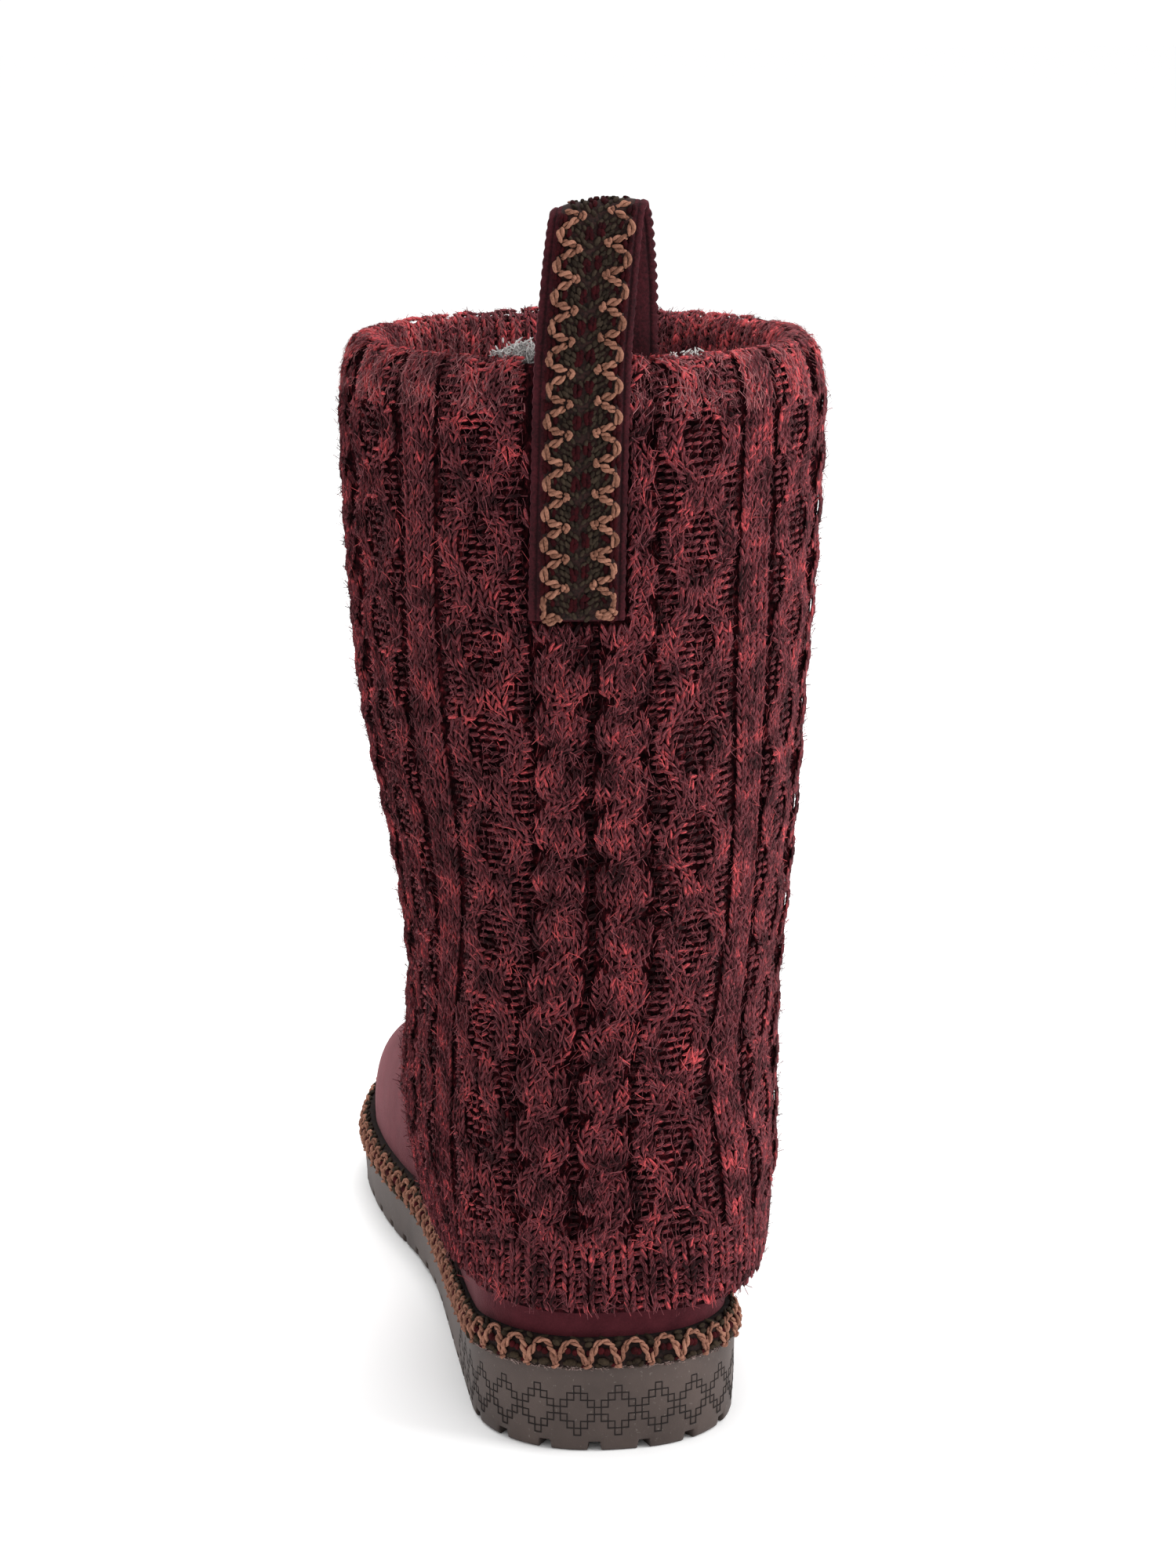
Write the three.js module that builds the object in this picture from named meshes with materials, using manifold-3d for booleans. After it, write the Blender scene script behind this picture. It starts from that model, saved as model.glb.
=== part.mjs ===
// A pull-on boot for a right foot: a low suede foot on a wedge of moulded rubber, a knitted sleeve that hangs
// over it from the collar, a braided trim round the sole and a pull loop of tape at the back.
// Millimetres, +Z up. +X is the inner side of the foot, +Y is behind the heel, and the toe points along -Y.
// X = 0 and Y = 0 lie on the heel's flat underside, straight below the axis of the collar.
import * as THREE from "three";
import { mergeGeometries, mergeVertices } from "three/addons/utils/BufferGeometryUtils.js";
import Module from "manifold-3d";

// Driving sizes
const SOLE_LENGTH = 284;
const HEEL_TO_AXIS = 61;
const HEEL_ROUND = 36;
const TOE_ROUND = 72;
const FIT = 0.35;
const SUEDE_WALL = 2.6;
const KNIT_WALL = 4.5;
const SLACK = 0.9;
const FOOT_TOP = 116;
const COLLAR_START = 274;
const INSOLE_THICK = 4;
const TRIM_TALL = 8.6;
const NOTCH_PITCH = 14;
const NOTCH_WIDE = 3.2;
const NOTCH_TALL = 3.2;
const NOTCH_DEEP = 7;
const TAPE_WIDE = 24.5;
const TAPE_THICK = 1.8;
const BRAID_WIDE = 20;
const BRAID_THICK = 1.3;
const KNIT_REPEATS = 4;
const FOOT_STATIONS = 52;

// Plan of the sole: distance from the back of the heel, reach to the inner and to the outer side
const PLAN = [
  { s: 0, inner: 34.6, outer: 37.2 },
  { s: 37, inner: 34.9, outer: 37.5 },
  { s: 65, inner: 35.0, outer: 38.4 },
  { s: 98, inner: 35.1, outer: 40.2 },
  { s: 123, inner: 35.8, outer: 42.4 },
  { s: 151, inner: 38.8, outer: 45.6 },
  { s: 177, inner: 43.8, outer: 48.4 },
  { s: 200, inner: 46.6, outer: 50.0 },
  { s: 220, inner: 47.5, outer: 50.0 },
  { s: 245, inner: 47.2, outer: 47.6 },
  { s: 284, inner: 45.6, outer: 41.0 },
];

// Side view of the sole: height of its underside and of its top
const RISE = [
  { s: 0, under: 0, top: 24.0 },
  { s: 18, under: 0, top: 23.4 },
  { s: 33, under: 0, top: 21.4 },
  { s: 51, under: 0, top: 18.7 },
  { s: 75, under: 0, top: 16.5 },
  { s: 98, under: 0.3, top: 15.2 },
  { s: 120, under: 1.3, top: 14.4 },
  { s: 145, under: 0.9, top: 14.3 },
  { s: 165, under: 0, top: 14.2 },
  { s: 212, under: 0, top: 13.6 },
  { s: 232, under: 0.3, top: 14.0 },
  { s: 256, under: 2.9, top: 16.4 },
  { s: 284, under: 8.2, top: 21.4 },
];

// Ridge line of the foot from the shin over the instep to the toe
const RIDGE = [
  { s: 113, z: 124 },
  { s: 116, z: 116 },
  { s: 124, z: 98 },
  { s: 137, z: 82.5 },
  { s: 150, z: 75.5 },
  { s: 166, z: 71 },
  { s: 185, z: 66.5 },
  { s: 200, z: 63.5 },
  { s: 213, z: 60.5 },
  { s: 228, z: 56.5 },
  { s: 247, z: 50.2 },
  { s: 263, z: 43.2 },
  { s: 273, z: 37 },
  { s: 278.4, z: 30 },
  { s: 280.1, z: 21 },
];

// Level sections of the knitted sleeve, outside: middle, half width, back, front, and squareness
const SLEEVE = [
  { z: 36, middle: -3.6, half: 44.6, back: -2.0, front: 168, square: 3.1 },
  { z: 50, middle: -3.1, half: 46.2, back: -2.0, front: 166, square: 3.0 },
  { z: 62, middle: -2.7, half: 47.2, back: -1.5, front: 162, square: 3.0 },
  { z: 80, middle: -2.5, half: 47.8, back: 0.0, front: 151, square: 2.8 },
  { z: 95, middle: -2.6, half: 47.8, back: 1.5, front: 136, square: 2.5 },
  { z: 113, middle: -2.8, half: 48.0, back: 3.0, front: 125, square: 2.3 },
  { z: 135, middle: -2.8, half: 50.0, back: 4.5, front: 119.5, square: 2.2 },
  { z: 157, middle: -2.0, half: 52.8, back: 5.0, front: 117.5, square: 2.15 },
  { z: 178, middle: -0.7, half: 55.8, back: 5.0, front: 117, square: 2.1 },
  { z: 200, middle: 0.4, half: 58.2, back: 5.0, front: 117, square: 2.1 },
  { z: 233, middle: 0.4, half: 60.7, back: 5.0, front: 117.5, square: 2.1 },
  { z: 262, middle: 0.2, half: 61.9, back: 5.0, front: 117.5, square: 2.1 },
  { z: 274, middle: 0.1, half: 62.0, back: 5.4, front: 117, square: 2.1 },
];

// Hem of the sleeve: height against the share of the way from back to front
const HEM = [
  { share: 0, z: 38.5 },
  { share: 0.15, z: 41 },
  { share: 0.27, z: 42.8 },
  { share: 0.45, z: 44.8 },
  { share: 0.62, z: 50.5 },
  { share: 0.74, z: 59 },
  { share: 0.84, z: 69 },
  { share: 0.93, z: 77 },
  { share: 1, z: 80 },
];

// Rolled collar: height above the start of the roll and distance in from the outside
const ROLL = [
  { up: 5, inset: 0.5 },
  { up: 9.5, inset: 1.7 },
  { up: 13, inset: 3.7 },
  { up: 14.6, inset: 6.2 },
  { up: 13.2, inset: 8.8 },
  { up: 9, inset: 10.6 },
  { up: 2, inset: 11.2 },
  { up: -7, inset: 10.0 },
  { up: -17, inset: 6.8 },
  { up: -27, inset: KNIT_WALL },
];

// Path of the loop's tape: distance from the back of the heel, height, place across, and how far it hugs the sleeve
const LOOP = [
  { s: 4.1, z: 224, across: 9.4, hug: 1 },
  { s: 4.1, z: 245, across: 9.0, hug: 1 },
  { s: 4.1, z: 262, across: 8.6, hug: 1 },
  { s: 4.4, z: 276, across: 8.2, hug: 1 },
  { s: 5.3, z: 290, across: 7.6, hug: 0.8 },
  { s: 7.0, z: 305, across: 6.2, hug: 0.5 },
  { s: 9.1, z: 319, across: 4.6, hug: 0.3 },
  { s: 11.2, z: 326, across: 3.4, hug: 0.2 },
  { s: 13.6, z: 327.6, across: 2.4, hug: 0.2 },
  { s: 16.0, z: 325.4, across: 1.4, hug: 0.2 },
  { s: 18.0, z: 317, across: 0.2, hug: 0.3 },
  { s: 19.0, z: 304, across: -0.8, hug: 0.5 },
  { s: 18.9, z: 290, across: -1.0, hug: 0.8 },
  { s: 18.4, z: 279, across: -1.0, hug: 1 },
  { s: 17.7, z: 268, across: -0.8, hug: 1 },
  { s: 16.4, z: 260, across: -0.6, hug: 1 },
];

// Knit in bands across one repeat: share of the half repeat where the band ends, and how far it stands out
const BANDS = [
  { end: 0.03, out: 0.1 },
  { end: 0.35, out: 1.1 },
  { end: 0.4, out: -0.9 },
  { end: 0.84, out: 0.5 },
  { end: 0.88, out: -0.9 },
  { end: 1, out: 0.6 },
];

// Smooth reading of a table column against its key column
function read(table, key, column, at) {
  const last = table.length - 1;
  if (at <= table[0][key]) {
    return table[0][column];
  }
  if (at >= table[last][key]) {
    return table[last][column];
  }
  let i = 0;
  while (at > table[i + 1][key]) {
    i += 1;
  }
  const slope = (a, b) => (table[b][column] - table[a][column]) / (table[b][key] - table[a][key]);
  const here = slope(i, i + 1);
  const tangent = (k) => {
    if (k === 0 || k === last) {
      return here;
    }
    const before = slope(k - 1, k);
    const after = slope(k, k + 1);
    return before * after <= 0 ? 0 : (2 * before * after) / (before + after);
  };
  const span = table[i + 1][key] - table[i][key];
  const t = (at - table[i][key]) / span;
  const a = table[i][column];
  const b = table[i + 1][column];
  const bend = (1 - t) * tangent(i) - t * tangent(i + 1) + (2 * t - 1) * here;
  return a + (b - a) * t + span * t * (1 - t) * bend;
}

const mix = (a, b, t) => a + (b - a) * t;
const clamp = (v, lo, hi) => Math.min(hi, Math.max(lo, v));
const ease = (t) => clamp(t, 0, 1) ** 2 * (3 - 2 * clamp(t, 0, 1));
const place = (x, s, z) => new THREE.Vector3(x, HEEL_TO_AXIS - s, z);

// Share from back to front and side of the boot at a station of a ring, evenly turned round the ring
function station(turn) {
  const angle = 2 * Math.PI * turn;
  return { share: (1 - Math.cos(angle)) / 2, side: Math.sin(angle) };
}

// Half width of the plan as a share of its full reach, rounded at the heel and at the toe
function roundEnds(s, back, front, heel, toe) {
  const h = clamp(1 - (s - back) / heel, 0, 1);
  const t = clamp(1 - (front - s) / toe, 0, 1);
  return (1 - h ** 2.3) ** (1 / 2.3) * (1 - t ** 2.2) ** (1 / 2.2);
}

// Point of the sole's outline at a station, moved in by an inset
function outline(turn, inset) {
  const { share, side } = station(turn);
  const s = mix(inset, SOLE_LENGTH - inset, share);
  const inner = read(PLAN, "s", "inner", s);
  const outer = read(PLAN, "s", "outer", s);
  const middle = (inner - outer) / 2;
  const reach = (inner + outer) / 2 - inset;
  const width = reach * roundEnds(s, inset, SOLE_LENGTH - inset, HEEL_ROUND, TOE_ROUND);
  return { x: middle + Math.sign(side) * width, s };
}

const under = (s) => read(RISE, "s", "under", s);
const top = (s) => read(RISE, "s", "top", s);

// Outside of the sleeve at a station and height, without the relief of the knit
function sleevePoint(turn, z, inset) {
  const { share, side } = station(turn);
  const middle = read(SLEEVE, "z", "middle", z);
  const half = read(SLEEVE, "z", "half", z) - inset;
  const back = read(SLEEVE, "z", "back", z) + inset;
  const front = read(SLEEVE, "z", "front", z) - inset;
  const square = read(SLEEVE, "z", "square", z);
  const along = Math.abs(2 * share - 1);
  const width = half * (1 - along ** square) ** (1 / square);
  return { x: middle + Math.sign(side) * width, s: mix(back, front, share) };
}

// Inset of the suede from the sole's edge: the trim is thicker round the forefoot than at the heel
const footInset = (s) => mix(2.7, 3.9, ease((s - 60) / 120));

// Ridge line moved inwards by the wall of the suede, for the inside of the foot
const RIDGE_INSIDE = RIDGE.map((row, k) => {
  const before = RIDGE[Math.max(0, k - 1)];
  const after = RIDGE[Math.min(RIDGE.length - 1, k + 1)];
  const long = Math.hypot(after.s - before.s, after.z - before.z);
  const back = (SUEDE_WALL * (before.z - after.z)) / long;
  const down = (SUEDE_WALL * (after.s - before.s)) / long;
  return { s: row.s - back, z: row.z - down };
});

// Front end of the foot at a height, on a ridge line
function footFront(ridge, z) {
  return read([...ridge].reverse(), "z", "s", z);
}

// Distance from the back of the heel to the back of the sleeve at a place across it
function sleeveBack(x, z) {
  const back = read(SLEEVE, "z", "back", z);
  const long = (read(SLEEVE, "z", "front", z) - back) / 2;
  const square = read(SLEEVE, "z", "square", z);
  const off = Math.abs(x - read(SLEEVE, "z", "middle", z)) / read(SLEEVE, "z", "half", z);
  return back + long * (1 - (1 - off ** square) ** (1 / square));
}

// Outside of the suede foot at a station and level, where level 0 is the sole and level 1 the ankle
function footPoint(turn, level, inset) {
  const { share, side } = station(turn);
  const lift = level * (FOOT_TOP - 14.3);
  const flat = 14.3 + lift;
  const inside = inset > SUEDE_WALL / 2;
  const line = inside ? RIDGE_INSIDE : RIDGE;
  const settle = 1 - ease(lift / 58);
  const front = footFront(line, flat + (top(280) + FIT - 14.3) * settle) - (inside ? 0 : inset);
  const clear = KNIT_WALL + FIT + SLACK + inset;
  const shelf = Math.max(flat, 40);
  const sleeveRear = read(SLEEVE, "z", "back", shelf) + clear;
  const sleeveFront = read(SLEEVE, "z", "front", shelf) - clear;
  const backLow = footInset(0) + inset + 0.4;
  const rise = ease((lift - 12) / 56);
  const back = mix(backLow, sleeveRear, rise);
  const s = mix(back, front, share);
  const z = flat + (top(s) + FIT - 14.3) * settle;
  const ridge = read(line, "s", "z", s);
  const fill = clamp((z - top(s)) / Math.max(ridge - top(s), 1), 0, 1);
  const dome = (1 - fill ** 4) ** (1 / 3);
  const planInner = read(PLAN, "s", "inner", s);
  const planOuter = read(PLAN, "s", "outer", s);
  const swell = 0.6 * ease(lift / 12);
  const reach = (planInner + planOuter) / 2 - footInset(s) - inset + swell;
  const tip = RIDGE[RIDGE.length - 1].s - inset;
  const low = reach * roundEnds(s, back, tip, HEEL_ROUND, TOE_ROUND - 5);
  const along = clamp(Math.abs((2 * (s - sleeveRear)) / (sleeveFront - sleeveRear) - 1), 0, 1);
  const square = read(SLEEVE, "z", "square", shelf);
  const high = (read(SLEEVE, "z", "half", shelf) - clear) * (1 - along ** square) ** (1 / square);
  const cover = ease((sleeveFront - s) / 25);
  const hung = read(HEM, "share", "z", clamp((s + 2) / (sleeveFront + 4), 0, 1));
  const free = 60 * (1 - ease((z - hung + 9) / 6));
  const width = Math.min(mix(low * dome, high, rise * cover), high + free);
  const middle = mix((planInner - planOuter) / 2, read(SLEEVE, "z", "middle", flat), rise);
  return { x: middle + Math.sign(side) * width, s, z };
}

// A tube of rings closed into one skin: each ring is a loop of points, and the last joins the first
function skinOfRings(rings) {
  const count = rings[0].length;
  const positions = [];
  rings.forEach((ring) => ring.forEach((p) => positions.push(p.x, p.y, p.z)));
  const faces = [];
  rings.forEach((ring, r) => {
    const next = (r + 1) % rings.length;
    for (let i = 0; i < count; i += 1) {
      const j = (i + 1) % count;
      const a = r * count + i;
      const b = r * count + j;
      const c = next * count + j;
      const d = next * count + i;
      faces.push(a, b, c, a, c, d);
    }
  });
  return solidGeometry(positions, faces);
}

// A stack of rings closed by a flat cap across each end, for rings that run round in matching pairs
function stackOfRings(rings) {
  const count = rings[0].length;
  const positions = [];
  rings.forEach((ring) => ring.forEach((p) => positions.push(p.x, p.y, p.z)));
  const faces = [];
  for (let r = 0; r + 1 < rings.length; r += 1) {
    for (let i = 0; i < count; i += 1) {
      const j = (i + 1) % count;
      const a = r * count + i;
      const b = r * count + j;
      const c = (r + 1) * count + j;
      const d = (r + 1) * count + i;
      faces.push(a, b, c, a, c, d);
    }
  }
  const cap = (base, flip) => {
    for (let i = 0; i < count / 2; i += 1) {
      const a = base + i;
      const b = base + i + 1;
      const c = base + ((count - i - 1) % count);
      const d = base + ((count - i) % count);
      const pair = [
        [a, c, b],
        [a, d, c],
      ];
      pair.forEach(([p, q, r]) => {
        if (p !== q && q !== r && r !== p) {
          faces.push(...(flip ? [p, r, q] : [p, q, r]));
        }
      });
    }
  };
  cap(0, false);
  cap((rings.length - 1) * count, true);
  return solidGeometry(positions, faces);
}

function solidGeometry(positions, faces) {
  const raw = new THREE.BufferGeometry();
  raw.setAttribute("position", new THREE.Float32BufferAttribute(positions, 3));
  raw.setIndex(faces);
  return outward(raw);
}

// The same skin with its faces turned outwards
function outward(geometry) {
  const p = geometry.attributes.position;
  const index = geometry.index.array;
  const [a, b, c] = [new THREE.Vector3(), new THREE.Vector3(), new THREE.Vector3()];
  let volume = 0;
  for (let i = 0; i < index.length; i += 3) {
    a.fromBufferAttribute(p, index[i]);
    b.fromBufferAttribute(p, index[i + 1]);
    c.fromBufferAttribute(p, index[i + 2]);
    volume += a.dot(b.cross(c));
  }
  if (volume < 0) {
    for (let i = 0; i < index.length; i += 3) {
      const keep = index[i + 1];
      index[i + 1] = index[i + 2];
      index[i + 2] = keep;
    }
  }
  return geometry;
}

const wasm = await Module();
wasm.setup();

function toManifold(geometry) {
  const bare = new THREE.BufferGeometry();
  bare.setAttribute("position", geometry.attributes.position);
  bare.setIndex(geometry.index);
  const merged = mergeVertices(bare, 1e-4);
  const vertProperties = new Float32Array(merged.attributes.position.array);
  const triVerts = new Uint32Array(merged.index.array);
  return new wasm.Manifold(new wasm.Mesh({ numProp: 3, vertProperties, triVerts }));
}

function fromManifold(solid) {
  const mesh = solid.getMesh();
  const geometry = new THREE.BufferGeometry();
  geometry.setAttribute("position", new THREE.Float32BufferAttribute(mesh.vertProperties, 3));
  geometry.setIndex(Array.from(mesh.triVerts));
  return geometry;
}

// Turns of the stations round the sole, alike on both sides: the edges of each notch, and both ends
function notchTurns() {
  const steps = 1000;
  const lengths = [0];
  let before = outline(0, 0);
  for (let i = 1; i <= steps; i += 1) {
    const here = outline(i / steps / 2, 0);
    lengths.push(lengths[i - 1] + Math.hypot(here.x - before.x, here.s - before.s));
    before = here;
  }
  const count = Math.round(lengths[steps] / NOTCH_PITCH);
  const pitch = lengths[steps] / count;
  const turnAt = (length) => {
    let i = 0;
    while (i < steps - 1 && lengths[i + 1] < length) {
      i += 1;
    }
    return (i + (length - lengths[i]) / (lengths[i + 1] - lengths[i])) / steps / 2;
  };
  const half = [];
  for (let n = 0; n < count; n += 1) {
    const middle = (n + 0.5) * pitch;
    half.push({ turn: turnAt(middle - NOTCH_WIDE / 2 - 0.5), notch: false });
    half.push({ turn: turnAt(middle - NOTCH_WIDE / 2), notch: true });
    half.push({ turn: turnAt(middle + NOTCH_WIDE / 2), notch: true });
    half.push({ turn: turnAt(middle + NOTCH_WIDE / 2 + 0.5), notch: false });
  }
  const mirrored = half.map(({ turn, notch }) => ({ turn: 1 - turn, notch })).reverse();
  return [{ turn: 0, notch: false }, ...half, { turn: 0.5, notch: false }, ...mirrored];
}

// Outsole: a wedge with a bevelled lower edge cut by notches, and cross grooves between its lugs
function makeOutsole() {
  const turns = notchTurns();
  const ring = (inset, height) =>
    turns.map(({ turn, notch }) => {
      const p = outline(turn, inset);
      return place(p.x, p.s, height(p.s, notch));
    });
  const rings = [
    ring(NOTCH_DEEP + 0.6, (s) => under(s)),
    ring(NOTCH_DEEP, (s, notch) => under(s) + (notch ? NOTCH_TALL : 0)),
    ring(1.2, (s, notch) => under(s) + (notch ? NOTCH_TALL : 0)),
    ring(0.5, (s, notch) => under(s) + (notch ? NOTCH_TALL + 0.3 : 1.4)),
    ring(0, (s) => top(s) - 0.8),
    ring(0.7, (s) => top(s)),
  ];
  let solid = toManifold(stackOfRings(rings));
  const grooves = [18, 34, 88, 172, 190, 208, 226];
  grooves.forEach((s) => {
    solid = solid.subtract(toManifold(crossGroove(s)));
  });
  return fromManifold(solid);
}

// A zigzag groove across the underside at a distance from the back of the heel
function crossGroove(s) {
  const p = outline(Math.acos(1 - (2 * s) / SOLE_LENGTH) / (2 * Math.PI), 0);
  const reach = Math.abs(p.x) - NOTCH_DEEP - 3.5;
  const zig = 4;
  const wide = 3;
  const shape = new THREE.Shape();
  const count = 4;
  const at = (i) => mix(-reach, reach, i / count);
  const swing = (i) => (i % 2 ? zig / 2 : -zig / 2);
  shape.moveTo(at(0), swing(0) - wide / 2);
  for (let i = 1; i <= count; i += 1) {
    shape.lineTo(at(i), swing(i) - wide / 2);
  }
  for (let i = count; i >= 0; i -= 1) {
    shape.lineTo(at(i), swing(i) + wide / 2);
  }
  const geometry = new THREE.ExtrudeGeometry(shape, { depth: 6, bevelEnabled: false });
  geometry.translate(0, HEEL_TO_AXIS - s, under(s) + 2.2 - 6);
  geometry.deleteAttribute("uv");
  geometry.deleteAttribute("normal");
  return outward(mergeVertices(geometry, 1e-4));
}

// Suede foot: an outer skin from the sole to the ankle and an inner skin back down, open at both ends
function makeFoot() {
  const stations = FOOT_STATIONS;
  const levels = [0, 0.06, 0.13, 0.2, 0.26, 0.31, 0.36, 0.41, 0.46, 0.51, 0.57, 0.65, 0.75, 0.87, 1];
  const ring = (level, inset) => {
    const points = [];
    for (let i = 0; i < stations; i += 1) {
      const p = footPoint(i / stations, level, inset);
      points.push(place(p.x, p.s, p.z));
    }
    return points;
  };
  const outside = levels.map((level) => ring(level, 0));
  const inside = levels.filter((_, k) => k % 2 === 0).map((level) => ring(level, SUEDE_WALL));
  inside.reverse();
  return skinOfRings([...outside, ...inside]);
}

// Insole: a soft bed inside the foot, following the top of the sole
function makeInsole() {
  const stations = 40;
  const inset = SUEDE_WALL + 1.8;
  const ring = (extra, height) => {
    const points = [];
    for (let i = 0; i < stations; i += 1) {
      const p = outline(i / stations, footInset(142) + inset + extra);
      points.push(place(p.x, p.s, top(p.s) + height));
    }
    return points;
  };
  return stackOfRings([ring(0.6, FIT), ring(0, 1.6), ring(0, INSOLE_THICK - 0.8), ring(1.2, INSOLE_THICK)]);
}

// Outside of the suede at a station and level, pushed out level with the floor by a gap
function besideFoot(turn, level, gap) {
  const here = footPoint(turn, level, 0);
  const before = footPoint(turn - 0.012, level, 0);
  const after = footPoint(turn + 0.012, level, 0);
  const dx = after.x - before.x;
  const ds = after.s - before.s;
  const long = Math.hypot(dx, ds);
  return { x: here.x + (gap * ds) / long, s: here.s - (gap * dx) / long };
}

// Braided trim: a rounded cord band lying in the corner between the sole's edge and the suede
function makeTrim() {
  const stations = FOOT_STATIONS;
  const section = [
    { out: 0.2, up: 0 },
    { out: 0.92, up: 0 },
    { out: 1, up: 0.35 },
    { out: 0.93, up: 0.75 },
    { out: 0.62, up: 0.97 },
    { out: 0.15, up: 1 },
    { out: 0, up: 0.85 },
    { out: 0, up: 0.12 },
  ];
  const rings = section.map(({ out, up }) => {
    const ring = [];
    for (let i = 0; i < stations; i += 1) {
      const turn = i / stations;
      const edge = outline(turn, -1.1);
      const foot = besideFoot(turn, (up * TRIM_TALL) / (FOOT_TOP - 14.3), FIT + 0.1);
      const x = mix(foot.x, edge.x, out);
      const s = mix(foot.s, edge.s, out);
      ring.push(place(x, s, top(s) + FIT + up * TRIM_TALL));
    }
    return ring;
  });
  return skinOfRings(rings);
}

// Share of the way round the sleeve, along its mid-height ring, for each station
function roundShares(stations) {
  const points = [];
  for (let i = 0; i <= stations; i += 1) {
    points.push(sleevePoint(i / stations, 150, 0));
  }
  const lengths = [0];
  for (let i = 1; i <= stations; i += 1) {
    const step = Math.hypot(points[i].x - points[i - 1].x, points[i].s - points[i - 1].s);
    lengths.push(lengths[i - 1] + step);
  }
  return lengths.map((length) => length / lengths[stations]);
}

// How far the knit stands out at a share of the way round
function relief(share) {
  const inRepeat = (share * KNIT_REPEATS) % 1;
  const half = Math.abs(inRepeat > 0.5 ? 1 - inRepeat : inRepeat) * 2;
  const band = BANDS.find((row) => half <= row.end) || BANDS[BANDS.length - 1];
  return band.out;
}

// Knitted sleeve: outside from hem to collar, over the roll, and down the inside to the hem
function makeSleeve() {
  const stations = 88;
  const shares = roundShares(stations);
  const rise = [0, 0.04, 0.1, 0.17, 0.25, 0.34, 0.43, 0.52, 0.61, 0.7, 0.775, 0.86, 0.94, 1];
  const tapeHalf = TAPE_WIDE / 2 + 5;
  const tapeAcross = read(LOOP, "z", "across", 245);
  const ring = (part, inset, raised) => {
    const points = [];
    for (let i = 0; i < stations; i += 1) {
      const turn = i / stations;
      const { share } = station(turn);
      const hem = read(HEM, "share", "z", share);
      const z = mix(hem, COLLAR_START, part);
      const plain = sleevePoint(turn, z, inset);
      const tape = share < 0.2 && z > 218 && Math.abs(plain.x - tapeAcross) < tapeHalf;
      const fade = raised ? ease(part / 0.09) * ease((1 - part) / 0.08) : 0;
      const out = tape ? 0 : relief(shares[i]) * fade;
      const p = sleevePoint(turn, z, inset - out);
      points.push(place(p.x, p.s, z));
    }
    return points;
  };
  const roll = ROLL.map(({ up, inset }) => {
    const points = [];
    for (let i = 0; i < stations; i += 1) {
      const p = sleevePoint(i / stations, COLLAR_START + Math.min(up, 0), inset);
      points.push(place(p.x, p.s, COLLAR_START + up));
    }
    return points;
  });
  const outside = rise.map((part) => ring(part, 0, true));
  const inside = [0.72, 0.48, 0.3, 0.14, 0.004].map((part) => ring(part, KNIT_WALL, false));
  return skinOfRings([...outside, ...roll, ...inside]);
}

// Sweep of a flat strip along the loop's path: wide across, thin along the path's normal
function makeStrip(rows, wide, low, high) {
  const across = 4;
  const rings = [];
  rows.forEach((row, k) => {
    const before = rows[Math.max(0, k - 1)];
    const after = rows[Math.min(rows.length - 1, k + 1)];
    const ds = after.s - before.s;
    const dz = after.z - before.z;
    const long = Math.hypot(ds, dz);
    const out = { s: -dz / long, z: ds / long };
    const ring = [];
    const point = (i, lift) => {
      const x = mix(-wide / 2, wide / 2, i / across);
      const bend = row.hug * (sleeveBack(row.across + x, row.z) - sleeveBack(row.across, row.z));
      ring.push(place(row.across + x, row.s + bend + out.s * lift, row.z + out.z * lift));
    };
    for (let i = 0; i <= across; i += 1) {
      point(i, low);
    }
    for (let i = across; i >= 0; i -= 1) {
      point(i, high);
    }
    rings.push(ring);
  });
  return closedSweep(rings);
}

// A sweep with a flat cap over each end, for strip sections listed out along one face and back along the other
function closedSweep(rings) {
  const count = rings[0].length;
  const positions = [];
  rings.forEach((ring) => ring.forEach((p) => positions.push(p.x, p.y, p.z)));
  const faces = [];
  for (let r = 0; r + 1 < rings.length; r += 1) {
    for (let i = 0; i < count; i += 1) {
      const j = (i + 1) % count;
      faces.push(r * count + i, r * count + j, (r + 1) * count + j);
      faces.push(r * count + i, (r + 1) * count + j, (r + 1) * count + i);
    }
  }
  const last = (rings.length - 1) * count;
  for (let i = 0; i + 1 < count / 2; i += 1) {
    const a = i;
    const b = i + 1;
    const c = count - 2 - i;
    const d = count - 1 - i;
    faces.push(a, c, b, a, d, c);
    faces.push(last + a, last + b, last + c, last + a, last + c, last + d);
  }
  return solidGeometry(positions, faces);
}

function makeMesh(name, geometry, color, roughness) {
  const material = new THREE.MeshStandardMaterial({ color, roughness, metalness: 0 });
  const mesh = new THREE.Mesh(geometry, material);
  mesh.name = name;
  return mesh;
}

const group = new THREE.Group();
const tapeHalf = TAPE_THICK / 2;
group.add(makeMesh("outsole", makeOutsole(), 0x4b4039, 0.7));
group.add(makeMesh("insole", makeInsole(), 0xb5aaa2, 0.95));
group.add(makeMesh("foot_upper", makeFoot(), 0x4a1a26, 0.9));
group.add(makeMesh("trim_braid", makeTrim(), 0x8a5a48, 0.9));
group.add(makeMesh("knit_shaft", makeSleeve(), 0x5e1f28, 0.95));
group.add(makeMesh("pull_loop", makeStrip(LOOP, TAPE_WIDE, -tapeHalf, tapeHalf), 0x43101c, 0.8));
group.add(makeMesh("loop_braid", makeStrip(LOOP.slice(0), BRAID_WIDE, tapeHalf + FIT, tapeHalf + FIT + BRAID_THICK), 0x9c6b57, 0.9));

export default group;
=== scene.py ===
"""A pull-on boot for a right foot: suede foot, wedge sole, knitted sleeve, braided trim and pull loop.

Shapes are worked out in millimetres, with s the distance from the back of the heel, x towards the
inner side of the foot and z up, and become metres in the row frame when a mesh is made.
"""

import logging
import math
from dataclasses import dataclass, field
from enum import Enum

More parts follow.
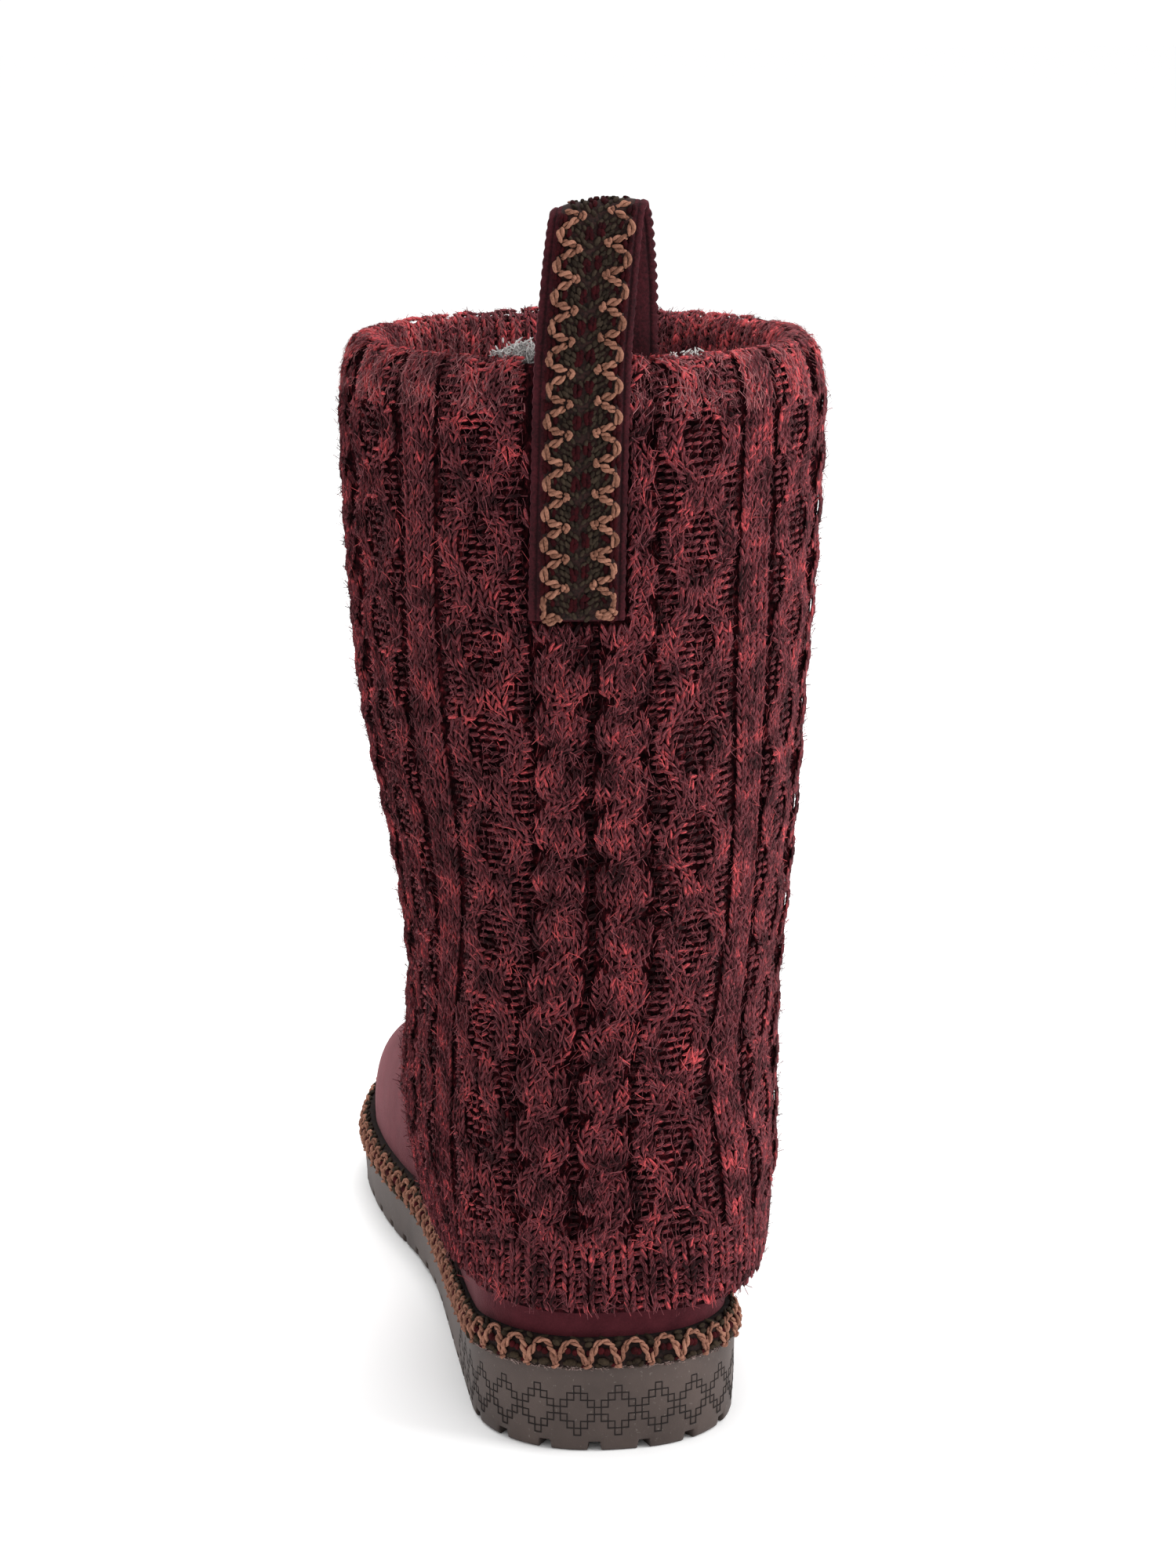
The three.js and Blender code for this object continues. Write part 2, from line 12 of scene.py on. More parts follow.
import bmesh
import bpy
import numpy as np
from bpy.types import Material, Node, NodeSocket, Object
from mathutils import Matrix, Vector


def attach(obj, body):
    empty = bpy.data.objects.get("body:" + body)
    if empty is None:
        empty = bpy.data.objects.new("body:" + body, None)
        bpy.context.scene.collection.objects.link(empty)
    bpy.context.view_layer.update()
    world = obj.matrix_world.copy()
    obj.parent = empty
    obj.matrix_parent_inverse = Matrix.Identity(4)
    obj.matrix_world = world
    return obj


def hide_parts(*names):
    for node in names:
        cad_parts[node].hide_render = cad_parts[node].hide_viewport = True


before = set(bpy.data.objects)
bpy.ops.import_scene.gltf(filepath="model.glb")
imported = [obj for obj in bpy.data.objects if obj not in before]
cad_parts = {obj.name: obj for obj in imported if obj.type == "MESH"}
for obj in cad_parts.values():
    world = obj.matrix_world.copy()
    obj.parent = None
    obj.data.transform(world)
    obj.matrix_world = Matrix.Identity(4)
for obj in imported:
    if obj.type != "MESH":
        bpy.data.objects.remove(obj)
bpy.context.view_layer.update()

LOG = logging.getLogger("boot")
TAU = 2 * math.pi
MM = 0.001
Array = np.ndarray
Rgb = tuple[int, int, int]

# Sizes that more than one piece reads, in millimetres
HEEL_TO_AXIS = 61.0
SOLE_LENGTH = 284.0
HEEL_ROUND = 36.0
TOE_ROUND = 72.0
WAIST = 14.3
FOOT_TOP = 116.0
HEM_LOWEST = 38.5
COLLAR_START = 274.0
SUEDE_WALL = 2.6
KNIT_WALL = 4.5
# Clearance between two pieces, and what the suede keeps free inside the sleeve
FIT = 0.35
SLACK = 0.9
# Squareness of the two ends of the sole's outline
HEEL_SQUARE = 2.3
TOE_SQUARE = 2.2
# Points on a ring that is measured before its stations are chosen
MEASURE = 6001
# Distance below which points are merged where rings close to a line, and on a strap, in metres
POLE_WELD = 0.00002
STRAP_WELD = 1e-7


class Piece(Enum):
    """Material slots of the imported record."""

    RUBBER = "sole_rubber"
    FLEECE = "fleece"
    SUEDE = "suede"
    TRIM = "trim_yarn"
    KNIT = "knit_yarn"
    TAPE = "loop_tape"


# Numbers and tables


def smooth(t: Array) -> Array:
    """Ease from 0 to 1.

    Args:
        t: Share of the way, clipped to 0..1.

    Returns:
        Eased share.
    """
    t = np.clip(t, 0, 1)
    return t * t * (3 - 2 * t)


def mix(a: Array, b: Array, t: Array) -> Array:
    """Value between a and b at share t."""
    return a + (b - a) * t


@dataclass(frozen=True)
class Column:
    """A table column read smoothly, without overshoot, against its key column."""

    keys: tuple[float, ...]
    values: tuple[float, ...]

    def __call__(self, at: Array) -> Array:
        """Read the column.

        Args:
            at: Key values; those past an end read the end's value.

        Returns:
            The column's values there.
        """
        k, v = np.array(self.keys), np.array(self.values)
        at = np.clip(np.asarray(at, float), k[0], k[-1])
        i = np.clip(np.searchsorted(k, at, side="left") - 1, 0, len(k) - 2)
        span = np.diff(k)
        slope = np.diff(v) / span
        before, after = slope[:-1], slope[1:]
        same = before * after > 0
        total = np.where(same, before + after, 1)
        inner = np.where(same, 2 * before * after / total, 0)
        tangent = np.concatenate([slope[:1], inner, slope[-1:]])
        t = (at - k[i]) / span[i]
        bend = (1 - t) * tangent[i] - t * tangent[i + 1] + (2 * t - 1) * slope[i]
        return v[i] + (v[i + 1] - v[i]) * t + span[i] * t * (1 - t) * bend


def columns(*rows: tuple[float, ...]) -> list[Column]:
    """Columns of a table whose first entry in each row is the key.

    Args:
        rows: Rows of numbers, keys rising.

    Returns:
        One Column for each entry after the key.
    """
    keys, *rest = zip(*rows)
    return [Column(keys, values) for values in rest]


# Plan of the sole: s, reach to the inner side, reach to the outer side
PLAN_INNER, PLAN_OUTER = columns(
    (0, 34.6, 37.2), (37, 34.9, 37.5), (65, 35.0, 38.4), (98, 35.1, 40.2), (123, 35.8, 42.4),
    (151, 38.8, 45.6), (177, 43.8, 48.4), (200, 46.6, 50.0), (220, 47.5, 50.0), (245, 47.2, 47.6),
    (284, 45.6, 41.0),
)
# Side view of the sole: s, height of the underside, height of the top
UNDER, TOP = columns(
    (0, 0, 24.0), (18, 0, 23.4), (33, 0, 21.4), (51, 0, 18.7), (75, 0, 16.5), (98, 0.3, 15.2),
    (120, 1.3, 14.4), (145, 0.9, 14.3), (165, 0, 14.2), (212, 0, 13.6), (232, 0.3, 14.0),
    (256, 2.9, 16.4), (284, 8.2, 21.4),
)
# Ridge line of the foot: s, z
RIDGE_ROWS = (
    (113, 124), (116, 116), (124, 98), (137, 82.5), (150, 75.5), (166, 71), (185, 66.5),
    (200, 63.5), (213, 60.5), (228, 56.5), (247, 50.2), (263, 43.2), (273, 37), (278.4, 30),
    (280.1, 21),
)
# Level sections of the sleeve: z, middle, half width, back, front, squareness
S_MIDDLE, S_HALF, S_BACK, S_FRONT, S_SQUARE = columns(
    (36, -3.6, 44.6, -2.0, 168, 3.1), (50, -3.1, 46.2, -2.0, 166, 3.0),
    (62, -2.7, 47.2, -1.5, 162, 3.0), (80, -2.5, 47.8, 0.0, 151, 2.8),
    (95, -2.6, 47.8, 1.5, 136, 2.5), (113, -2.8, 48.0, 3.0, 125, 2.3),
    (135, -2.8, 50.0, 4.5, 119.5, 2.2), (157, -2.0, 52.8, 5.0, 117.5, 2.15),
    (178, -0.7, 55.8, 5.0, 117, 2.1), (200, 0.4, 58.2, 5.0, 117, 2.1),
    (233, 0.4, 60.7, 5.0, 117.5, 2.1), (262, 0.2, 61.9, 5.0, 117.5, 2.1),
    (274, 0.1, 62.0, 5.4, 117, 2.1),
)
# Hem of the sleeve: share of the way from back to front, z
(HEM,) = columns(
    (0, 38.5), (0.15, 41), (0.27, 42.8), (0.45, 44.8), (0.62, 50.5), (0.74, 59), (0.84, 69),
    (0.93, 77), (1, 80),
)
# Rolled collar from the top of the sleeve over and down inside: height above its start, inset
ROLL_ROWS = (
    (0, 0), (5, 0.5), (9.5, 1.7), (13, 3.7), (14.6, 6.2), (13.2, 8.8), (9, 10.6), (2, 11.2),
    (-7, 10.0), (-17, 6.8), (-27, KNIT_WALL),
)
# Path of the loop's tape: s, z, place across, how far it hugs the sleeve
LOOP_ROWS = (
    (4.1, 224, 9.4, 1), (4.1, 245, 9.0, 1), (4.1, 262, 8.6, 1), (4.4, 276, 8.2, 1),
    (5.3, 290, 7.6, 0.8), (7.0, 305, 6.2, 0.5), (9.1, 319, 4.6, 0.3), (11.2, 326, 3.4, 0.2),
    (13.6, 327.6, 2.4, 0.2), (16.0, 325.4, 1.4, 0.2), (18.0, 317, 0.2, 0.3),
    (19.0, 304, -0.8, 0.5), (18.9, 290, -1.0, 0.8), (18.4, 279, -1.0, 1), (17.7, 268, -0.8, 1),
    (16.4, 260, -0.6, 1),
)
# Drift of the knit's pattern towards the inner side: z, millimetres
(DRIFT,) = columns((36, 16.5), (100, 15), (125, 10), (145, 7.5), (213, 5), (274, 6))


def moved_ridge(wall: float) -> tuple[tuple[float, float], ...]:
    """The ridge line moved inwards.

    Args:
        wall: How far, square to the line.

    Returns:
        Rows of s and z.
    """
    rows = []
    for k, (s, z) in enumerate(RIDGE_ROWS):
        s0, z0 = RIDGE_ROWS[max(0, k - 1)]
        s1, z1 = RIDGE_ROWS[min(len(RIDGE_ROWS) - 1, k + 1)]
        long = math.hypot(s1 - s0, z1 - z0)
        rows.append((s - wall * (z0 - z1) / long, z - wall * (s1 - s0) / long))
    return tuple(rows)


def ridge_columns(rows: tuple[tuple[float, float], ...]) -> tuple[Column, Column]:
    """A ridge line read as z at an s, and as s at a z."""
    return Column(*zip(*rows)), Column(*zip(*[(z, s) for s, z in rows[::-1]]))


OUTER_RIDGE = ridge_columns(RIDGE_ROWS)
INNER_RIDGE = ridge_columns(moved_ridge(SUEDE_WALL))


def run_of(x: Array, s: Array) -> Array:
    """Length along a line up to each of its points."""
    return np.concatenate([[0], np.cumsum(np.hypot(np.diff(x), np.diff(s)))])


def station(turn: Array) -> tuple[Array, Array]:
    """Share from back to front, and side, at a turn round a ring."""
    return (1 - np.cos(TAU * turn)) / 2, np.sin(TAU * turn)


def round_ends(s: Array, back: Array, front: Array, heel: float, toe: float) -> Array:
    """Half width as a share of the full reach, rounded at the heel and at the toe.

    Args:
        s: Distance from the back of the heel.
        back: Where the outline starts.
        front: Where it ends.
        heel: Length that the rounding of the heel takes.
        toe: Length that the rounding of the toe takes.

    Returns:
        The share.
    """
    h = np.clip(1 - (s - back) / heel, 0, 1)
    t = np.clip(1 - (front - s) / toe, 0, 1)
    return (1 - h**HEEL_SQUARE) ** (1 / HEEL_SQUARE) * (1 - t**TOE_SQUARE) ** (1 / TOE_SQUARE)


def sole_outline(turn: Array, inset: float) -> tuple[Array, Array]:
    """Point of the sole's outline.

    Args:
        turn: Turn round the ring, 0 at the back of the heel.
        inset: Distance in from the edge.

    Returns:
        x and s.
    """
    share, side = station(turn)
    s = mix(inset, SOLE_LENGTH - inset, share)
    inner, outer = PLAN_INNER(s), PLAN_OUTER(s)
    reach = (inner + outer) / 2 - inset
    width = reach * round_ends(s, inset, SOLE_LENGTH - inset, HEEL_ROUND, TOE_ROUND)
    return (inner - outer) / 2 + np.sign(side) * width, s


def foot_inset(s: Array) -> Array:
    """Inset of the suede from the sole's edge."""
    return mix(2.7, 3.9, smooth((s - 60) / 120))


def foot_point(turn: Array, level: Array, inset: float) -> tuple[Array, Array, Array]:
    """Skin of the suede foot.

    Args:
        turn: Turn round the ring, 0 at the back of the heel.
        level: 0 at the sole and 1 at the ankle.
        inset: 0 for the outside, the wall for the inside.

    Returns:
        x, s and z.
    """
    share, side = station(turn)
    lift = level * (FOOT_TOP - WAIST)
    flat = WAIST + lift
    inside = inset > SUEDE_WALL / 2
    ridge_z, ridge_s = INNER_RIDGE if inside else OUTER_RIDGE
    # Low rings follow the slope of the sole, high ones lie level
    settle = 1 - smooth(lift / 58)
    front = ridge_s(flat + (TOP(280) + FIT - WAIST) * settle) - (0 if inside else inset)
    # The heel's back runs from the edge of the sole to the inside of the sleeve
    clear = KNIT_WALL + FIT + SLACK + inset
    shelf = np.maximum(flat, 40)
    rear = S_BACK(shelf) + clear
    fore = S_FRONT(shelf) - clear
    rise = smooth((lift - 12) / 56)
    back = mix(foot_inset(0) + inset + 0.4, rear, rise)
    s = mix(back, front, share)
    z = flat + (TOP(s) + FIT - WAIST) * settle
    # Low sections are domes under the ridge, as wide as the sole lets them be
    ridge = ridge_z(s)
    fill = np.clip((z - TOP(s)) / np.maximum(ridge - TOP(s), 1), 0, 1)
    dome = (1 - fill**4) ** (1 / 3)
    inner, outer = PLAN_INNER(s), PLAN_OUTER(s)
    reach = (inner + outer) / 2 - foot_inset(s) - inset + 0.6 * smooth(lift / 12)
    tip = RIDGE_ROWS[-1][0] - inset
    low = reach * round_ends(s, back, tip, HEEL_ROUND, TOE_ROUND - 5)
    # High sections fill the sleeve, and none is wider than the sleeve below its hem
    along = np.clip(np.abs(2 * (s - rear) / (fore - rear) - 1), 0, 1)
    square = S_SQUARE(shelf)
    high = (S_HALF(shelf) - clear) * (1 - along**square) ** (1 / square)
    cover = smooth((fore - s) / 25)
    hung = HEM(np.clip((s + 2) / (fore + 4), 0, 1))
    free = 60 * (1 - smooth((z - hung + 9) / 6))
    width = np.minimum(mix(low * dome, high, rise * cover), high + free)
    middle = mix((inner - outer) / 2, S_MIDDLE(flat), rise)
    return middle + np.sign(side) * width, s, z


def sleeve_section(z: float, turn: Array) -> tuple[Array, Array]:
    """Outline of the plain sleeve at a height.

    Args:
        z: The height.
        turn: Turn round the ring, 0 at the back.

    Returns:
        Distance from the section's own middle, and s.
    """
    share, side = station(turn)
    square = float(S_SQUARE(z))
    width = S_HALF(z) * (1 - np.abs(2 * share - 1) ** square) ** (1 / square)
    return np.sign(side) * width, mix(S_BACK(z), S_FRONT(z), share)


def sleeve_back(x: Array, z: Array) -> Array:
    """Back of the sleeve at a place across it.

    Args:
        x: The place.
        z: The height.

    Returns:
        Distance from the back of the heel.
    """
    back = S_BACK(z)
    long = (S_FRONT(z) - back) / 2
    square = S_SQUARE(z)
    off = np.clip(np.abs(x - S_MIDDLE(z)) / S_HALF(z), 0, 1)
    return back + long * (1 - (1 - off**square) ** (1 / square))


def even_turns(x: Array, s: Array, turns: Array, count: int) -> Array:
    """Turns that part a closed ring into equal lengths.

    Args:
        x: Ring's x at each turn.
        s: Ring's s at each turn.
        turns: The turns.
        count: Number of stations wanted.

    Returns:
        The turns of the stations.
    """
    length = run_of(x, s)
    return np.interp(np.arange(count) / count * length[-1], length, turns)


# Meshes


def to_metres(x: Array, s: Array, z: Array) -> Array:
    """Points in the boot's own frame.

    Args:
        x: Towards the inner side, millimetres.
        s: From the back of the heel, millimetres.
        z: Height, millimetres.

    Returns:
        Points in metres, their coordinates along the last axis.
    """
    x, s, z = np.broadcast_arrays(x, s, z)
    return np.stack([x, HEEL_TO_AXIS - s, z], axis=-1) * MM


def grid_faces(rows: int, cols: int, wrap_rows: bool, wrap_cols: bool) -> Array:
    """Quads of a grid of points.

    Args:
        rows: Rows of points.
        cols: Points in a row.
        wrap_rows: Whether the last row joins the first.
        wrap_cols: Whether each row is a closed ring.

    Returns:
        An array of four indices for each quad.
    """
    r = np.arange(rows if wrap_rows else rows - 1)[:, None]
    c = np.arange(cols if wrap_cols else cols - 1)[None, :]
    r1, c1 = (r + 1) % rows, (c + 1) % cols
    quads = np.stack([r * cols + c, r * cols + c1, r1 * cols + c1, r1 * cols + c], axis=-1)
    return quads.reshape(-1, 4)


def volume_sign(points: Array, faces: Array) -> float:
    """Sign of the volume that quads enclose.

    Args:
        points: Points of the skin.
        faces: Four indices for each quad.

    Returns:
        1 where the quads point outwards, otherwise -1.
    """
    a, b, c, d = (points[faces[:, i]] for i in range(4))
    one = np.einsum("ij,ij->i", a, np.cross(b, c)).sum()
    two = np.einsum("ij,ij->i", a, np.cross(c, d)).sum()
    return float(np.sign(one + two))


def mesh_object(
    name: str,
    points: Array,
    faces: Array,
    material: Material | None = None,
    attributes: dict[str, Array] | None = None,
    turn_out: bool = True,
    shade_smooth: bool = True,
) -> Object:
    """A mesh object at the origin.

    Args:
        name: Object's name.
        points: Points in metres, one row each.
        faces: Quads, or an empty array for loose points.
        material: Its finish.
        attributes: Values by name for each point, numbers or vectors.
        turn_out: Whether a closed skin's faces are turned outwards.
        shade_smooth: Whether it is shaded smooth.

    Returns:
        The object, linked to the scene.
    """
    points = np.asarray(points, float).reshape(-1, 3)
    if len(faces) and turn_out and volume_sign(points, faces) < 0:
        faces = faces[:, ::-1]
    mesh = bpy.data.meshes.new(name)
    mesh.from_pydata(points.tolist(), [], faces.tolist() if len(faces) else [])
    for key, values in (attributes or {}).items():
        values = np.asarray(values, np.float32)
        kind = "FLOAT" if values.ndim == 1 else "FLOAT_VECTOR"
        layer = mesh.attributes.new(key, kind, "POINT")
        layer.data.foreach_set("value" if values.ndim == 1 else "vector", values.ravel())
    if shade_smooth and len(faces):
        mesh.shade_smooth()
    if material:
        mesh.materials.append(material)
    mesh.validate()
    made = bpy.data.objects.new(name, mesh)
    bpy.context.collection.objects.link(made)
    return made


def merge_close(obj: Object, distance: float) -> None:
    """Merge points that lie together, so that poles and folded strips close.

    Args:
        obj: The mesh's object.
        distance: How close, metres.
    """
    work = bmesh.new()
    work.from_mesh(obj.data)
    bmesh.ops.remove_doubles(work, verts=work.verts, dist=distance)
    bmesh.ops.recalc_face_normals(work, faces=work.faces)
    work.to_mesh(obj.data)
    work.free()
    obj.data.shade_smooth()


def skin(
    name: str, rings: list[Array], material: Material, tube: bool = False, poles: bool = False,
    attributes: dict[str, Array] | None = None,
) -> Object:
    """A mesh through closed rings of points.

    Args:
        name: Object's name.
        rings: Points of each ring, metres, as many in each.
        material: Its finish.
        tube: Whether the last ring joins the first.
        poles: Whether the first and last rings are folded flat and closed.
        attributes: Values by name for each point.

    Returns:
        The object.
    """
    points = np.stack(rings)
    faces = grid_faces(points.shape[0], points.shape[1], tube, True)
    made = mesh_object(name, points, faces, material, attributes)
    if poles:
        merge_close(made, POLE_WELD)
    return made


def strap(
    name: str, face: list[Array], back: list[Array], material: Material,
    attributes: dict[str, Array] | None = None,
) -> Object:
    """A flat strap through the lines along its face and its back, closed at both ends.

    Args:
        name: Object's name.
        face: Points of each line along the face, metres, as many in each.
        back: The lines under them.
        material: Its finish.
        attributes: Values by name for each point, across the face and back again.

    Returns:
        The object.
    """
    points = np.stack(face + back[::-1], axis=1)
    steps, around = points.shape[:2]
    caps = []
    for base in (0, (steps - 1) * around):
        for i in range(around // 2 - 1):
            quad = [base + i, base + i + 1, base + around - 2 - i, base + around - 1 - i]
            caps.append(quad if base == 0 else quad[::-1])
    faces = np.concatenate([grid_faces(steps, around, False, True), np.array(caps)])
    made = mesh_object(name, points, faces, material, attributes)
    merge_close(made, STRAP_WELD)
    return made


def finish_piece(obj: Object, slot: Piece, *replaced: str) -> None:
    """Ride the piece on the boot and hide the solids that it stands for.

    Args:
        obj: The piece.
        slot: Its material slot; not used.
        replaced: Names of the solids.
    """
    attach(obj, "root")
    if replaced:
        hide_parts(*replaced)
    LOG.info("%s: %d faces", obj.name, len(obj.data.polygons))


def euler_of(across: Array, along: Array) -> Array:
    """Turns that set a shape's x axis across and its y axis along.

    Args:
        across: Direction of the shape's x axis, not quite square to along.
        along: Direction of the shape's y axis.

    Returns:
        Euler angles, XYZ.
    """
    y = along / np.linalg.norm(along, axis=-1, keepdims=True)
    z = np.cross(across, y)
    z /= np.linalg.norm(z, axis=-1, keepdims=True)
    x = np.cross(y, z)
    angles = (
        np.arctan2(y[..., 2], z[..., 2]),
        np.arcsin(np.clip(-x[..., 2], -1, 1)),
        np.arctan2(x[..., 1], x[..., 0]),
    )
    return np.stack(angles, axis=-1)


# Geometry node trees


class Grain(Enum):
    """Shape that a scatter sets on its points."""

    SPINDLE = "spindle"
    RIBBON = "ribbon"
    FRAME = "frame"


@dataclass
class NodeTree:
    """A Geometry Nodes tree under construction."""

    name: str
    inputs: dict[str, float] = field(default_factory=dict)

    def __post_init__(self) -> None:
        """Start the tree with its geometry sockets and its named sizes."""
        self.tree = bpy.data.node_groups.new(self.name, "GeometryNodeTree")
        face = self.tree.interface
        face.new_socket("Geometry", in_out="INPUT", socket_type="NodeSocketGeometry")
        for label, value in self.inputs.items():
            kind = "NodeSocketInt" if isinstance(value, int) else "NodeSocketFloat"
            face.new_socket(label, in_out="INPUT", socket_type=kind)
        face.new_socket("Geometry", in_out="OUTPUT", socket_type="NodeSocketGeometry")
        self.start = self.tree.nodes.new("NodeGroupInput")
        self.end = self.tree.nodes.new("NodeGroupOutput")

    def add(self, kind: str, **links: object) -> Node:
        """Add a node.

        Args:
            kind: Node type, with any properties after a bar, as in KIND|data_type=FLOAT.
            links: Input by name with spaces as underscores: a value, or a socket to link.

        Returns:
            The node.
        """
        kind, *settings = kind.split("|")
        node = self.tree.nodes.new(kind)
        for setting in settings:
            key, value = setting.split("=")
            setattr(node, key, value)
        for key, value in links.items():
            label = key.replace("_", " ")
            socket = next(x for x in node.inputs if x.name == label and x.enabled)
            if isinstance(value, NodeSocket):
                self.tree.links.new(value, socket)
            else:
                socket.default_value = value
        return node

    def attribute(self, name: str, kind: str) -> NodeSocket:
        """Socket that reads a named attribute."""
        node = self.add(f"GeometryNodeInputNamedAttribute|data_type={kind}", Name=name)
        return next(x for x in node.outputs if x.enabled)

    def times(self, a: NodeSocket, b: NodeSocket) -> NodeSocket:
        """Product of two values.

        Args:
            a: One value.
            b: The other.

        Returns:
            The product.
        """
        node = self.add("ShaderNodeMath|operation=MULTIPLY")
        self.tree.links.new(a, node.inputs[0])
        self.tree.links.new(b, node.inputs[1])
        return node.outputs[0]

    def close(self, geometry: NodeSocket, material: Material) -> None:
        """End the tree: realize the instances and set the material.

        Args:
            geometry: What the tree has made.
            material: Its finish.
        """
        real = self.add("GeometryNodeRealizeInstances", Geometry=geometry)
        done = self.add("GeometryNodeSetMaterial", Geometry=real.outputs[0], Material=material)
        self.tree.links.new(done.outputs[0], self.end.inputs[0])

    def apply(self, obj: Object) -> Object:
        """Run the tree on an object and keep the result as a plain mesh.

        Args:
            obj: Object whose mesh is the input.

        Returns:
            The same object, with the tree's mesh and no modifier.
        """
        modifier = obj.modifiers.new(self.name, "NODES")
        modifier.node_group = self.tree
        sockets = {
            item.name: item.identifier
            for item in self.tree.interface.items_tree
            if item.item_type == "SOCKET" and item.in_out == "INPUT"
        }
        for label, value in self.inputs.items():
            modifier[sockets[label]] = value
        depsgraph = bpy.context.evaluated_depsgraph_get()
        depsgraph.update()
        mesh = bpy.data.meshes.new_from_object(
            obj.evaluated_get(depsgraph), preserve_all_data_layers=True, depsgraph=depsgraph
        )
        obj.modifiers.remove(modifier)
        old, obj.data = obj.data, mesh
        name = old.name
        bpy.data.meshes.remove(old)
        mesh.name = name
        for key in ("turn", "size", "radius"):
            if key in mesh.attributes:
                mesh.attributes.remove(mesh.attributes[key])
        return obj


@dataclass(frozen=True)
class Scatter:
    """Points that each carry one small shape."""

    name: str
    grain: Grain
    sides: int = 4
    rings: int = 3
    bend: float = 0.0
    frame_wide: float = 0.25
    frame_deep: float = 0.05

    def spindle(self, tree: NodeTree) -> NodeSocket:
        """A small ball with its poles along y.

        Args:
            tree: Tree that it belongs to.

        Returns:
            Its geometry.
        """
        ball = tree.add(
            "GeometryNodeMeshUVSphere", Rings=self.rings, Radius=0.5,
            Segments=tree.start.outputs["Sides"],
        )
        upright = (math.pi / 2, 0.0, 0.0)
        return tree.add(
            "GeometryNodeTransform", Geometry=ball.outputs["Mesh"], Rotation=upright
        ).outputs[0]

    def ribbon(self, tree: NodeTree) -> NodeSocket:
        """A strip along y that bows up towards its ends.

        Args:
            tree: Tree that it belongs to.

        Returns:
            Its geometry.
        """
        strip = tree.add(
            "GeometryNodeMeshGrid", Size_X=1.0, Size_Y=1.0, Vertices_X=2, Vertices_Y=3
        )
        place = tree.add("GeometryNodeInputPosition").outputs[0]
        y = tree.add("ShaderNodeSeparateXYZ", Vector=place).outputs["Y"]
        bow = tree.times(tree.times(y, y), tree.start.outputs["Bend"])
        offset = tree.add("ShaderNodeCombineXYZ", Z=bow).outputs[0]
        return tree.add(
            "GeometryNodeSetPosition", Geometry=strip.outputs["Mesh"], Offset=offset
        ).outputs[0]

    def square(self, tree: NodeTree) -> NodeSocket:
        """A flat square frame.

        Args:
            tree: Tree that it belongs to.

        Returns:
            Its geometry.
        """
        path = tree.add("GeometryNodeCurvePrimitiveQuadrilateral", Width=1.0, Height=1.0)
        section = tree.add(
            "GeometryNodeCurvePrimitiveQuadrilateral", Width=self.frame_wide,
            Height=self.frame_deep,
        )
        return tree.add(
            "GeometryNodeCurveToMesh", Curve=path.outputs[0], Profile_Curve=section.outputs[0]
        ).outputs[0]

    def make(
        self, points: Array, turn: Array, size: Array, material: Material,
        attributes: dict[str, Array],
    ) -> Object:
        """Set the shape on every point.

        Args:
            points: Places, metres.
            turn: Euler angles.
            size: Size of each shape along its three axes, metres.
            material: Finish.
            attributes: More values for each point, which the shapes keep.

        Returns:
            The object.
        """
        values = {"turn": turn, "size": size, **attributes}
        obj = mesh_object(self.name, points, np.zeros((0, 4), int), None, values)
        tree = NodeTree(self.name, {"Bend": float(self.bend), "Sides": self.sides})
        shapes = {Grain.SPINDLE: self.spindle, Grain.RIBBON: self.ribbon, Grain.FRAME: self.square}
        kept = tree.add(
            "GeometryNodeStoreNamedAttribute|data_type=FLOAT_VECTOR|domain=POINT",
            Geometry=shapes[self.grain](tree), Name="local",
            Value=tree.add("GeometryNodeInputPosition").outputs[0],
        )
        euler = tree.attribute("turn", "FLOAT_VECTOR")
        rotation = tree.add("FunctionNodeEulerToRotation", Euler=euler)
        placed = tree.add(
            "GeometryNodeInstanceOnPoints", Points=tree.start.outputs["Geometry"],
            Instance=kept.outputs[0], Rotation=rotation.outputs[0],
            Scale=tree.attribute("size", "FLOAT_VECTOR"),
        )
        tree.close(placed.outputs[0], material)
        tree.apply(obj)
        if self.grain is not Grain.FRAME:
            obj.data.shade_smooth()
        return obj


def two_ply(line: Array, radius: Array, pitch: float, phase: float) -> list[Array]:
    """Two plies twisted round a line.

    Args:
        line: Points of the line, metres, evenly spaced.
        radius: Distance of each ply from the line at each point, metres.
        pitch: Length of a full twist, metres.
        phase: Turn at the start.

    Returns:
        The points of both plies.
    """
    tiny = 1e-12
    tangent = np.gradient(line, axis=0)
    tangent /= np.linalg.norm(tangent, axis=1, keepdims=True) + tiny
    side = np.cross(tangent, np.array([0.31, 0.22, 0.92]))
    side /= np.linalg.norm(side, axis=1, keepdims=True) + tiny
    up = np.cross(side, tangent)
    length = np.concatenate([[0], np.cumsum(np.linalg.norm(np.diff(line, axis=0), axis=1))])
    made = []
    for start in (0.0, math.pi):
        angle = (TAU * length / pitch + phase + start)[:, None]
        made.append(line + radius[:, None] * (np.cos(angle) * side + np.sin(angle) * up))
    return made


